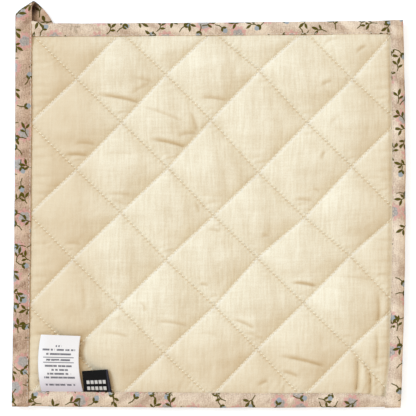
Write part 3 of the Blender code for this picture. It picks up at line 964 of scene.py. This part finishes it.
def cover_mesh(name, cover, points, facing_up, painted_shade):
    """Mesh of a relaxed cover, trimmed to the space inside the tapes, with the painted shade of its
    creases and of the cloth beside the labels and tapes.
    """
    limit_x = PAD_WIDTH / 2 - COVER_INSET
    limit_y = PAD_HEIGHT / 2 - COVER_INSET
    inside = cover.inside
    used, faces = numbered(inside[:-1, :-1] | inside[1:, :-1] | inside[:-1, 1:] | inside[1:, 1:])
    flat_x = np.clip(points[..., 0], -limit_x, limit_x)
    flat_y = np.clip(points[..., 1], -limit_y, limit_y)
    place_x, place_y = lay(flat_x, flat_y)
    if not facing_up:
        faces = faces[:, ::-1]
    verts = np.stack([place_x[used], place_y[used], points[..., 2][used]], -1)
    uv = np.stack([cover.x[used], cover.y[used]], -1) / (UV_SPAN_MM * MM) + 0.5
    # The painted shade, kept in a UV map
    closed = np.stack([painted_shade[used], painted_shade[used]], -1) / UV_SPAN_MM
    return grid_object(name, verts, faces, {"OFBake": uv, "cloth": uv, "painted_shade": closed})


def dress(obj, material, slot, *nodes):
    """Give a piece its material and hide the solids that it stands for. The slot is not used."""
    obj.data.materials.append(material)
    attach(obj, "root")
    if nodes:
        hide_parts(*nodes)


def innermost(height, shift):
    """Height of a cover where it comes closest to the wadding, within one step of each point."""
    result = height.copy()
    choose = np.minimum if shift < 0 else np.maximum
    for row in (-WADDING_STEP, 0, WADDING_STEP):
        for column in (-WADDING_STEP, 0, WADDING_STEP):
            result = choose(result, np.roll(height, (row, column), (0, 1)))
    return result


def wadding_mesh(top, top_points, back_points):
    """A closed slab of filling between the two covers, on every other thread."""
    every = slice(None, None, WADDING_STEP)
    keep = top.inside[every, every]
    used, upper_faces = numbered(keep[:-1, :-1] & keep[1:, :-1] & keep[:-1, 1:] & keep[1:, 1:])
    count = int(used.sum())
    layers = []
    for points, shift in ((top_points, -WADDING_INSET), (back_points, WADDING_INSET)):
        chosen = points[every, every][used]
        inner = innermost(points[..., 2], shift)[every, every][used]
        x, y = lay(chosen[:, 0], chosen[:, 1])
        layers.append(np.stack([x, y, inner + shift], -1))
    lowest = layers[1][:, 2] + 0.15 * MM
    layers[0][:, 2] = np.maximum(layers[0][:, 2], lowest)
    sides = {}
    for face in upper_faces.tolist():
        for start, end in zip(face, face[1:] + face[:1]):
            if sides.pop((end, start), None) is None:
                sides[(start, end)] = True
    walls = [[start, start + count, end + count, end] for start, end in sides]
    faces = np.concatenate([upper_faces, upper_faces[:, ::-1] + count, np.array(walls)])
    verts = np.concatenate(layers)
    uv = np.concatenate([layers[0][:, :2], layers[1][:, :2]]) / (UV_SPAN_MM * MM) + 0.5
    return grid_object("cotton_wadding_fill", verts, faces, {"cloth": uv})


# Tapes with their hanging loop


def wander(place, seed, wavelength):
    """Smooth random values around 0 along a line."""
    draws = np.random.default_rng(seed)
    total = np.zeros_like(place)
    waves = 4
    for _ in range(waves):
        turn = 2 * math.pi / (wavelength * draws.uniform(0.6, 1.6))
        total += np.sin(place * turn + draws.uniform(0, 2 * math.pi))
    return total / waves


def tape_ring(lap, outer, dome, pucker):
    """Depths and heights round a folded tape with a hem roll and a stitched groove.

    The ring runs from the upper hem to the fold, back along the lower lap and home inside.
    Dome is how much the cloth swells between fold and stitches, pucker how deep the stitches pull.
    """
    run = lap - outer
    hem = np.array(HEM_STOPS) * MM
    from_hem = np.concatenate([hem, np.linspace(hem[-1], run, 6)[1:-1]])
    toward_fold = np.clip((from_hem - TOPSTITCH_INSET) / (run - TOPSTITCH_INSET), 0, 1)
    swell = dome * np.sin(math.pi * toward_fold ** 1.4)
    groove = (STITCH_GROOVE + pucker) * bell(from_hem, TOPSTITCH_INSET, 0.24 * MM)
    rolled = 1 - np.clip(from_hem / (0.25 * MM), 0, 1)
    roll = HEM_ROLL * (1 - np.sqrt(1 - rolled ** 2))
    height = outer + swell - groove - roll
    angle = np.linspace(0, math.pi, NOSE_STEPS)
    inner = outer - TAPE_WALL
    depth = np.concatenate([
        lap - from_hem,
        outer * (1 - np.sin(angle)),
        lap - from_hem[::-1],
        [lap - 0.1 * MM, (lap + outer) / 2],
        outer - inner * np.sin(angle[::-2]),
        [(lap + outer) / 2, lap - 0.1 * MM],
    ])
    heights = np.concatenate([
        height,
        outer * np.cos(angle),
        -height[::-1],
        [-inner, -inner],
        inner * np.cos(angle[::-2]),
        [inner, inner],
    ])
    return depth, heights


def girth(lap, outer):
    """Distance round a tape's ring, for its cloth coordinates."""
    depth, height = tape_ring(lap, outer, 0.0, 0.0)
    steps = np.hypot(np.diff(depth, append=depth[0]), np.diff(height, append=height[0]))
    return np.concatenate([[0.0], np.cumsum(steps)])


def shell_object(name, rings, runs, around, cloth_shift, sideways=False, shades=None):
    """A closed tube of quads through a list of rings, with capped ends.

    Runs and around are distances along and round the cloth, for its weave and print.
    Shades say how much painted shade each point gets from lying inside a fold.
    """
    rings = np.asarray(rings)
    stations, sides = rings.shape[:2]
    shades = np.zeros((stations, sides)) if shades is None else np.asarray(shades)
    row, column = (part.ravel() for part in np.mgrid[:stations - 1, :sides])
    rows = np.stack([row, row + 1, row + 1, row], -1)
    columns = np.stack([column, column, column + 1, column + 1], -1)
    faces = rows * sides + columns % sides
    mesh = bpy.data.meshes.new(name)
    caps = [list(range(sides)), list(range((stations - 1) * sides, stations * sides))[::-1]]
    mesh.from_pydata(rings.reshape(-1, 3).tolist(), [], faces.tolist() + caps)
    rows = np.concatenate([rows.ravel(), np.zeros(sides, int), np.full(sides, stations - 1)])
    columns = np.concatenate([columns.ravel(), np.arange(sides), np.arange(sides)[::-1]])
    length = runs[-1] - runs[0]
    add_uv(mesh, "OFBake", 0.01 + 0.98 * columns / sides, 0.01 + 0.98 * (runs[rows] - runs[0]) / length)
    u = (around[columns] + cloth_shift[0]) / (UV_SPAN_MM * MM)
    v = (runs[rows] + cloth_shift[1]) / (UV_SPAN_MM * MM)
    add_uv(mesh, "cloth", *((v, u) if sideways else (u, v)))
    dark = shades[rows, columns % sides] / UV_SPAN_MM
    add_uv(mesh, "painted_shade", dark, dark)
    bm = bmesh.new()
    bm.from_mesh(mesh)
    bmesh.ops.recalc_face_normals(bm, faces=bm.faces)
    bm.to_mesh(mesh)
    bm.free()
    mesh.shade_smooth()
    return add_object(name, mesh)


def end_round(run, start, end):
    """Thickness share of a tape near its folded ends."""
    near = np.minimum(run - start, end - run)
    share = np.clip(near / (1.3 * MM), 0.0, 1.0)
    return np.sqrt(np.clip(1 - (1 - share) ** 2, 0.004, 1.0))


def side_outer(y):
    """Half thickness of a side tape, which rises over the ends of the top and bottom tapes."""
    over_top = smooth((y - TOP_EDGE + TOP_LAP + CORNER_RAMP) / CORNER_RAMP)
    over_bottom = smooth((BOTTOM_EDGE + BOTTOM_LAP + CORNER_RAMP - y) / CORNER_RAMP)
    return LAP_OUTER + (CORNER_OUTER - LAP_OUTER) * np.maximum(over_top, over_bottom)


def loop_point(along, across, off):
    """A point of the hanging loop off the pad's corner, and how much painted shade it gets inside the
    loop.

    The point is given by its place on the unrolled tape.
    """
    half_width = LEFT_LAP / 2
    turned = min(LOOP_TURN, max(0.0, (along - LOOP_TURN_START) / LOOP_TURN_LENGTH * LOOP_TURN))
    radius = LOOP_TURN_LENGTH / LOOP_TURN
    past = max(0.0, along - LOOP_TURN_START - LOOP_TURN_LENGTH)
    straight = min(along, LOOP_TURN_START) + past * math.cos(turned)
    drift = past * math.sin(turned)
    x = half_width - radius * (1 - math.cos(turned)) - drift + across * math.cos(turned)
    y = straight + radius * math.sin(turned) + across * math.sin(turned)

    inward = (across + half_width) / LEFT_LAP
    top_z = MID_Z + LOOP_FLARE * inward
    low_z = LOOP_OUTER + 0.15 * MM
    roll = (top_z - low_z) / 2
    edge = LOOP_SIDE_RISE * math.cos(LOOP_FOLD_ANGLE) - LOOP_OUTER - roll
    cos_fold = math.cos(LOOP_FOLD_ANGLE)
    sin_fold = math.sin(LOOP_FOLD_ANGLE)
    beside = x * cos_fold + y * sin_fold
    beyond = y * cos_fold - x * sin_fold - edge
    under = 0.0
    bulge = 0.0
    if beyond <= 0:
        tangent_y = (edge + (across + half_width) * sin_fold) / cos_fold
        z = MID_Z + (top_z - MID_Z) * smooth(y / tangent_y) + off
        reach = edge + beyond
    elif beyond < math.pi * roll:
        angle = beyond / roll
        z = top_z - roll + (roll + off) * math.cos(angle)
        reach = edge + (roll + off) * math.sin(angle)
        under = float(smooth(angle / math.pi * 1.6 - 0.4))
    else:
        back = beyond - math.pi * roll
        under_z = MID_Z - LAP_OUTER - LAYER_GAP - LOOP_OUTER
        curl = LOOP_CURL * inward * smooth(back / (4 * MM)) * (1 - smooth((back - 3 * MM) / (6 * MM)))
        z = low_z + (under_z - low_z) * smooth(back / (6 * MM)) + curl - off
        reach = edge - back
        under = 1.0
        bulge = LOOP_BULGE * inward * math.sin(math.pi * min(1.0, back / (15 * MM)))
    flat_x = beside * cos_fold - reach * sin_fold + bulge * 0.75
    flat_y = beside * sin_fold + reach * cos_fold + bulge * 0.66
    # Painted shade on the loop's return strap, darkest beside the front strap and towards the top
    high = smooth((flat_y - 3 * MM) / (5 * MM))
    near = smooth(1.15 - (flat_x - LEFT_LAP) / ((3.4 + 1.6 * high) * MM))
    shade = under * near * (0.55 + 0.43 * high)
    return flat_x, flat_y, z, shade


def edge_wander(run, seed):
    """How far a tape's fold wanders outwards along its run."""
    return EDGE_WANDER * wander(run, seed, WANDER_LENGTH)


def tape_swell(run, seed):
    """How much a tape swells between its fold and its stitches, along its run."""
    return SWELL + SWELL_WANDER * wander(run, seed, SWELL_LENGTH)


def stitch_pull(run):
    """How deep the topstitching pulls the cloth in, along a tape's run."""
    return STITCH_PULL * np.cos(2 * math.pi * run / TOPSTITCH_PITCH)


def left_tape(printed):
    """The left tape, which goes on past the top corner as the hanging loop."""
    start = BOTTOM_EDGE - END_REACH
    end = TOP_EDGE + LOOP_LENGTH
    runs = np.concatenate([
        start + np.array(END_STOPS) * MM,
        np.arange(start + 1.4 * MM, end - 0.8 * MM, TAPE_STEP),
        end - np.array(END_STOPS[-2::-1]) * MM,
    ])
    outers = side_outer(runs)
    beyond = runs - TOP_EDGE
    outers = outers + (LOOP_OUTER - outers) * smooth((beyond + 1.5 * MM) / (3.4 * MM))
    outers = outers * end_round(runs, start, end)
    swell = tape_swell(runs, 3) * (1 - 0.6 * smooth(beyond / (2 * MM)))
    rings = []
    shades = []
    for run, outer, dome, wave in zip(runs, outers, swell, edge_wander(runs, 4)):
        depth, height = tape_ring(LEFT_LAP, outer, dome, stitch_pull(run))
        if run <= TOP_EDGE:
            inward = depth / LEFT_LAP
            x, y = lay(LEFT_EDGE + depth - wave * (1 - inward), run + 0 * depth)
            rings.append(np.stack([x, y, MID_Z + height], -1))
            shades.append(0 * depth)
            continue
        ring = []
        shade = []
        for d, h in zip(depth, height):
            x, y, z, dark = loop_point(run - TOP_EDGE, d - LEFT_LAP / 2, h)
            x, y = lay(LEFT_EDGE + x, TOP_EDGE + y)
            ring.append((x, y, z))
            shade.append(dark)
        rings.append(np.array(ring))
        shades.append(np.array(shade))
    around = girth(LEFT_LAP, LAP_OUTER)
    tape = shell_object("left_tape_loop", rings, runs, around, (0.052, 0.290), shades=shades)
    dress(tape, printed, "printed_cotton", "binding_left")


def right_tape(printed):
    """The right tape, over the ends of the top and bottom ones."""
    start = BOTTOM_EDGE - END_REACH
    end = TOP_EDGE + END_REACH
    runs = tape_runs(start, end)
    outers = side_outer(runs) * end_round(runs, start, end)
    rings = []
    for run, outer, dome, wave in zip(runs, outers, tape_swell(runs, 5), edge_wander(runs, 6)):
        deep = float(right_hem(run))
        depth, height = tape_ring(deep, outer, dome, stitch_pull(run))
        inward = depth / deep
        x, y = lay(RIGHT_EDGE - depth + wave * (1 - inward), run + 0 * depth)
        rings.append(np.stack([x, y, MID_Z + height], -1))
    tape = shell_object("right_tape", rings, runs, girth(RIGHT_LAP, LAP_OUTER), (0.063, 0.42))
    dress(tape, printed, "printed_cotton", "binding_right")


def tape_runs(start, end):
    """Stations along a tape, closer together at its ends."""
    ends = np.array(END_STOPS) * MM
    middle = np.arange(start + 1.4 * MM, end - 1.2 * MM, TAPE_STEP)
    return np.concatenate([start + ends, middle, end - ends[::-1]])


def level_tape(name, node, lap, outer_edge, inwards, seed, printed, cloth_shift):
    """The top or the bottom tape, between the side ones. The labels raise the bottom one's hem."""
    runs = tape_runs(LEFT_EDGE + CORNER_OUTER, RIGHT_EDGE - CORNER_OUTER)
    at_top = inwards < 0
    rings = []
    for run, dome, wave in zip(runs, tape_swell(runs, seed), edge_wander(runs, seed + 1)):
        deep = lap if at_top else float(bottom_hem(run))
        depth, height = tape_ring(deep, LAP_OUTER, dome, stitch_pull(run))
        lift = 0.0 if at_top else label_lift(run)
        raised = lift * smooth((depth - LAP_OUTER) / (deep - LAP_OUTER - LABEL_TUCK))
        height = np.where(height > 0, height + raised, height)
        past = (run - LEFT_EDGE - LEFT_LAP) / MM
        swell = CORNER_SWELL * (1 - smooth(past / 8)) * smooth((past + 0.9) * 1.2) if at_top else 0.0
        x, y = lay(run + 0 * depth, outer_edge + inwards * (depth - (wave + swell) * (1 - depth / deep)))
        rings.append(np.stack([x, y, MID_Z + height], -1))
    tape = shell_object(name, rings, runs, girth(lap, LAP_OUTER), cloth_shift, True)
    dress(tape, printed, "printed_cotton", node)


# Labels


def label_lift(x):
    """How much the labels under it raise the bottom tape's hem at a place along it."""
    total = 0.0
    for from_left, width, wall in (
        (LABEL_FROM_LEFT, LABEL_WIDTH, LABEL_WALL),
        (TAB_FROM_LEFT, TAB_WIDTH, 2 * TAB_WALL + LAYER_GAP),
    ):
        outside = abs(x - LEFT_EDGE - from_left) - width / 2
        total = max(total, (wall + 0.2 * MM) * (1 - smooth(outside / TAB_LENGTH * 3)))
    return float(total)


def label_place(free):
    """Middle and width of the care label along its length, from hem to free end."""
    bow = LABEL_BOW * 4 * free * (1 - free)
    middle = LEFT_EDGE + LABEL_FROM_LEFT + LABEL_SHIFT + LABEL_LEAN * free - bow
    return middle, LABEL_WIDTH * (1.045 - 0.05 * free)


def tab_middle(free):
    """Middle of the black tab along its length, from hem to fold."""
    return LEFT_EDGE + TAB_FROM_LEFT + TAB_SHIFT + TAB_LEAN * free


def shadow(beside, above, beside_reach, above_reach):
    """1 under a label, fading beside and above it over reaches in mm."""
    away = np.maximum(np.maximum(beside, above), 0.0)
    return np.exp(-away / (np.where(above > 0, above_reach, beside_reach) * MM))


def label_shade(x, y):
    """How dark the cloth is close beside the labels, where little light reaches under them."""
    past_hem = y - BOTTOM_EDGE - bottom_hem(x)
    middle, width = label_place(np.clip(past_hem / LABEL_LENGTH, 0, 1))
    above = past_hem - LABEL_LENGTH
    strength = np.where(above > 0, 0.85, np.where(x > middle, 1.3, 0.35))
    label = strength * shadow(np.abs(x - middle) - width / 2, above, 0.8, 2.3)
    middle = tab_middle(np.clip(past_hem / TAB_LENGTH, 0, 1))
    tab = 0.65 * shadow(np.abs(x - middle) - TAB_WIDTH / 2, past_hem - TAB_LENGTH, 0.7, 1.7)
    return np.maximum(label, tab)


def ride_height(x, y):
    """Height over the quilting on which a label lies."""
    return MID_Z + LABEL_FOOT + LABEL_CLIMB * edge_share(x, y)


def sheet_shell(name, middle, wall, runs, back_shift):
    """A thin closed sheet round a grid of middle points: stations along, points across.

    Runs are distances along the cloth. Back_shift moves the back's cloth coordinates away, so
    that it stays bare where only the front is marked.
    """
    along = np.gradient(middle, axis=0)
    across = np.gradient(middle, axis=1)
    normal = np.cross(across, along)
    half = normal / lengths(normal)[..., None] * wall / 2
    rings = np.concatenate([middle + half, (middle - half)[:, ::-1]], axis=1)
    width = lengths(middle[0, 1:] - middle[0, :-1]).sum()
    places = np.linspace(-width / 2, width / 2, middle.shape[1])
    around = np.concatenate([places, places[::-1] + back_shift, [back_shift - width / 2]])
    return shell_object(name, rings, runs, around, (0.0, 0.0))


def care_label():
    """The satin label, bowed to the left, free at its upper end."""
    along = np.linspace(-LABEL_TUCK, LABEL_LENGTH, 76)[:, None]
    across = np.linspace(-0.5, 0.5, 45)[None, :]
    free = np.clip(along / LABEL_LENGTH, 0, 1)
    middle, width = label_place(free)
    x = middle + across * width
    y = BOTTOM_EDGE + bottom_hem(x) + along - LABEL_TILT * across * free
    ripple = 0.25 * MM * np.sin(along / (5.2 * MM) + across * 1.4) * free
    points = np.stack([*lay(x, y), ride_height(x, y) + LABEL_WALL / 2 + ripple], -1)
    label = sheet_shell("care_label_satin", points, LABEL_WALL, along[:, 0], 1.1)
    dress(label, satin_material(), "white_satin", "care_label")


def folded_tab():
    """The black woven tab: out from under the hem, round a fold and back on itself."""
    radius = (TAB_WALL + LAYER_GAP) / 2
    flat = TAB_LENGTH - radius
    out = np.linspace(-LABEL_TUCK, flat, 30)
    turn = np.linspace(0, math.pi, 9)[1:-1]
    reach = np.concatenate([out, flat + radius * np.sin(turn), out[::-1]])
    layer = np.concatenate([0 * out, radius * (1 - np.cos(turn)), 0 * out + 2 * radius])
    upper = np.concatenate([0 * out, 0 * turn, 0 * out + 1.0])[:, None]
    reach = reach[:, None]
    layer = layer[:, None]
    across = np.linspace(-0.5, 0.5, 33)[None, :]
    free = np.maximum(0, reach) / TAB_LENGTH
    narrow = across * (TAB_WIDTH - 0.5 * MM * free)
    x = tab_middle(free) + narrow - 0.7 * MM * upper * (1 - free)
    y = BOTTOM_EDGE + bottom_hem(x) + reach + 0.9 * MM * across * free
    z = ride_height(x, y) + TAB_WALL / 2 + layer + 0.12 * MM * np.sin(across * 5 + reach / (3 * MM))
    points = np.stack([*lay(x, y), z], -1)
    runs = np.concatenate([out, flat + radius * turn, 2 * flat + math.pi * radius - out[::-1]])
    tab = sheet_shell("black_tab_folded", points, TAB_WALL, runs, 0.0)
    dress(tab, tab_material(), "black_woven", "black_tab")


# Sewing thread


def stitch_mesh(name, starts, middles, ends, up, slant, thread, radius=THREAD_RADIUS):
    """All stitches of one kind: short arched lengths of thread between needle holes."""
    sides = 6
    steps = 5
    run = ends - starts
    ahead = run / lengths(run)[:, None]
    aside = np.cross(up, ahead)
    aside /= lengths(aside)[:, None]
    over = np.cross(ahead, aside)
    crown = middles - (starts + ends) / 2 + over * (radius * 0.9)
    verts = []
    for place in np.linspace(0, 1, steps + 1):
        arch = 1 - (2 * place - 1) ** 2
        along = 0.07 + 0.86 * place
        centre = starts + run * along + crown * arch + aside * (slant * (place - 0.5) * 2)
        thick = radius * (0.45 + 0.55 * math.sqrt(arch))
        for side in range(sides):
            angle = 2 * math.pi * side / sides
            sideways = aside * (thick * math.cos(angle))
            verts.append(centre + sideways + over * (thick * 0.85 * math.sin(angle)))
    verts = np.stack(verts, 1)
    step, side = (part.ravel() for part in np.mgrid[:steps, :sides])
    low = step * sides + side
    following = step * sides + (side + 1) % sides
    faces = np.stack([low, following, following + sides, low + sides], -1)
    first = np.arange(len(starts)) * (steps + 1) * sides
    faces = (faces[None] + first[:, None, None]).reshape(-1, 4)
    dress(grid_object(name, verts.reshape(-1, 3), faces, {}), thread, "cream_cotton")


def quilting_thread(name, cover, points, outwards, thread):
    """The stitches along the diamond seams of one cover."""
    index = np.arange(cover.x.shape[0]) - cover.half
    seams = np.where(index % cover.cells == 0)[0]
    holes = np.where(index % STITCH_CELLS == 0)[0][:-1]
    x, y = lay(points[..., 0], points[..., 1])
    placed = np.stack([x, y, points[..., 2]], -1)
    shown = cover.inside & (cover.open_share > 0)
    starts, middles, ends = [], [], []
    for rising in (True, False):
        grid = placed if rising else placed.transpose(1, 0, 2)
        seen = shown if rising else shown.T
        for seam in seams:
            line = grid[seam]
            good = seen[seam][holes] & seen[seam][holes + STITCH_CELLS]
            first = holes[good]
            starts.append(line[first])
            ends.append(line[first + STITCH_CELLS])
            middles.append((line[first + 1] + line[first + 2]) / 2)
    starts, middles, ends = (np.concatenate(part) for part in (starts, middles, ends))
    up = np.array([0.0, 0.0, outwards])
    stitch_mesh(name, starts, middles, ends, up, 0.24 * MM, thread)


def tape_thread(thread):
    """The topstitching that runs just outside the inner edge of each tape, on both faces."""
    top = TOP_EDGE - TOP_LAP + TOPSTITCH_INSET
    bottom = BOTTOM_EDGE + BOTTOM_LAP - TOPSTITCH_INSET
    left = LEFT_EDGE + LEFT_LAP - TOPSTITCH_INSET
    right = RIGHT_EDGE - RIGHT_LAP + TOPSTITCH_INSET
    lines = (
        ((left, BOTTOM_EDGE + 1.2 * MM), (left, TOP_EDGE - 1.0 * MM), side_outer, None),
        ((right, BOTTOM_EDGE + 1.2 * MM), (right, TOP_EDGE - 1.2 * MM), side_outer, None),
        ((LEFT_EDGE + LEFT_LAP, top), (RIGHT_EDGE - RIGHT_LAP, top), None, None),
        ((LEFT_EDGE + LEFT_LAP, bottom), (RIGHT_EDGE - RIGHT_LAP, bottom), None, label_lift),
    )
    for outwards, name in ((1.0, "topstitch_front"), (-1.0, "topstitch_back")):
        stitches = []
        for (x0, y0), (x1, y1), outer, lift in lines:
            length = math.hypot(x1 - x0, y1 - y0)
            count = int(length / TOPSTITCH_PITCH)
            for number in range(count):
                spots = []
                for place in (number, number + 0.5, number + 1):
                    share = place * TOPSTITCH_PITCH / length
                    x = x0 + (x1 - x0) * share
                    y = y0 + (y1 - y0) * share
                    high = LAP_OUTER if outer is None else float(outer(y))
                    if lift is not None and outwards > 0:
                        high += lift(x)
                    dip = 0.42 * MM if place != number + 0.5 else 0.18 * MM
                    if lift is not None:
                        y += bottom_hem(x) - BOTTOM_LAP
                    if outer is not None and x > 0:
                        x -= right_hem(y) - RIGHT_LAP
                    spots.append((*lay(x, y), MID_Z + outwards * (high - dip)))
                stitches.append(spots)
        starts, middles, ends = np.array(stitches).transpose(1, 0, 2)
        up = np.array([0.0, 0.0, outwards])
        stitch_mesh(name, starts, middles, ends, up, 0.12 * MM, thread, 0.19 * MM)


def make_camera():
    """A long lens straight above, framed as the photograph."""
    data = bpy.data.cameras.new("camera")
    data.sensor_width = SENSOR_WIDTH
    data.lens = SENSOR_WIDTH * (CAMERA_HEIGHT - MID_Z) / (PIXEL * PHOTO_SIDE)
    camera = add_object("camera", data)
    camera.location = (VIEW_CENTRE[0], VIEW_CENTRE[1], CAMERA_HEIGHT)
    bpy.context.scene.camera = camera


def make_light():
    """A broad lamp from the upper left and an even warm room."""
    lamp = bpy.data.lights.new("window", "SUN")
    lamp.energy = 1.0
    lamp.angle = LAMP_SPREAD
    lamp.color = LAMP_COLOUR
    obj = add_object("window", lamp)
    level = math.cos(LAMP_HEIGHT)
    towards = Vector(
        (math.cos(LAMP_HEADING) * level, math.sin(LAMP_HEADING) * level, math.sin(LAMP_HEIGHT))
    )
    obj.rotation_mode = "QUATERNION"
    obj.rotation_quaternion = towards.to_track_quat("Z", "Y")

    world = bpy.data.worlds.new("room")
    world.use_nodes = True
    tree = world.node_tree
    lit = tree.nodes["Background"]
    white = tree.nodes.new("ShaderNodeBackground")
    for background, colour in ((lit, ROOM_COLOUR), (white, WHITE)):
        background.inputs["Color"].default_value = colour
        background.inputs["Strength"].default_value = 1.0
    rays = tree.nodes.new("ShaderNodeLightPath")
    shown = tree.nodes.new("ShaderNodeMath")
    shown.operation = "MAXIMUM"
    tree.links.new(rays.outputs["Is Camera Ray"], shown.inputs[0])
    tree.links.new(rays.outputs["Is Glossy Ray"], shown.inputs[1])
    mix = tree.nodes.new("ShaderNodeMixShader")
    tree.links.new(shown.outputs[0], mix.inputs[0])
    tree.links.new(lit.outputs[0], mix.inputs[1])
    tree.links.new(white.outputs[0], mix.inputs[2])
    tree.links.new(mix.outputs[0], tree.nodes["World Output"].inputs["Surface"])
    bpy.context.scene.world = world


def make_floor():
    """A table top that shows white to the camera and keeps a soft shadow."""
    corners = np.array([(-1, -1, 0), (1, -1, 0), (1, 1, 0), (-1, 1, 0)]) * FLOOR_REACH
    floor = grid_object("floor", corners, np.array([(0, 1, 2, 3)]), {})
    floor.location.z = -0.1 * MM
    graph = Graph("floor_white")
    seen = Field(graph, graph.node("ShaderNodeLightPath").outputs["Is Camera Ray"])
    glow = graph.node("ShaderNodeEmission", {"Color": (0.9, 1.0, 1.1, 1), "Strength": seen * 0.5})
    both = graph.node("ShaderNodeAddShader")
    graph.tree.links.new(graph.shader.outputs[0], both.inputs[0])
    graph.tree.links.new(glow.outputs[0], both.inputs[1])
    graph.tree.links.new(both.outputs[0], graph.tree.nodes["Material Output"].inputs["Surface"])
    floor.data.materials.append(graph.finish((0.82, 0.82, 0.82, 1), 0.9, gloss=0.1))


def main():
    """Build and dress everything."""
    make_camera()
    make_light()
    make_floor()
    bpy.context.scene.view_settings.view_transform = "Standard"
    printed = print_material(
        "printed_cotton", (0.45, 0.30, 0.205, 1), (0.92, 0.775, 0.60, 1), 0.10, 0.34
    )
    # A darker copy of the print for the left tape: its darker ground is painted shade, its closer-set
    # flowers and sprigs are print
    shaded_print = print_material(
        "printed_cotton_left_shaded", (0.25, 0.13, 0.075, 1), (0.77, 0.575, 0.42, 1), 0.08, 0.15
    )
    thread = thread_material("cream_thread", (0.93, 0.82, 0.59, 1), (0.98, 0.92, 0.75, 1))
    pale = thread_material("tape_thread", (0.66, 0.55, 0.44, 1), (0.86, 0.76, 0.64, 1))

    cover, points = settle(11, SEAM_TOP, EDGE_TOP, 1.0, None)
    points, painted_shade = add_creases(cover, add_lumps(cover, points, 41, 1.0))
    points = add_stitch_gather(cover, points, 1.0)
    # Painted shade beside the side tapes and the labels, joined to that of the creases
    shade_beside_tapes = 0.5 * side_groove(cover.warped_x, cover.warped_y)
    painted_shade = np.maximum.reduce([painted_shade, label_shade(cover.warped_x, cover.warped_y), shade_beside_tapes])
    top = cover_mesh("cream_cover_cloth", cover, points, True, painted_shade)
    dress(top, cream_material(), "cream_cotton", "cream_cover")
    quilting_thread("quilting_front", cover, points, 1.0, thread)

    back, back_points = settle(29, SEAM_BACK, EDGE_BACK, -1.0, TABLE_CLEARANCE)
    back_points = add_stitch_gather(back, back_points, -1.0)
    under = cover_mesh("print_cover_cloth", back, back_points, False, 0.0 * back.x)
    dress(under, printed, "printed_cotton", "print_cover")
    quilting_thread("quilting_back", back, back_points, -1.0, thread)

    fill = wadding_mesh(cover, points, back_points)
    dress(fill, wadding_material(), "cotton_wadding", "wadding")

    left_tape(shaded_print)
    right_tape(printed)
    level_tape("top_tape", "binding_top", TOP_LAP, TOP_EDGE, -1, 7, printed, (0.235, 0.02))
    level_tape("bottom_tape", "binding_bottom", BOTTOM_LAP, BOTTOM_EDGE, 1, 9, printed, (0.15, 0.20))
    tape_thread(pale)
    care_label()
    folded_tab()


main()
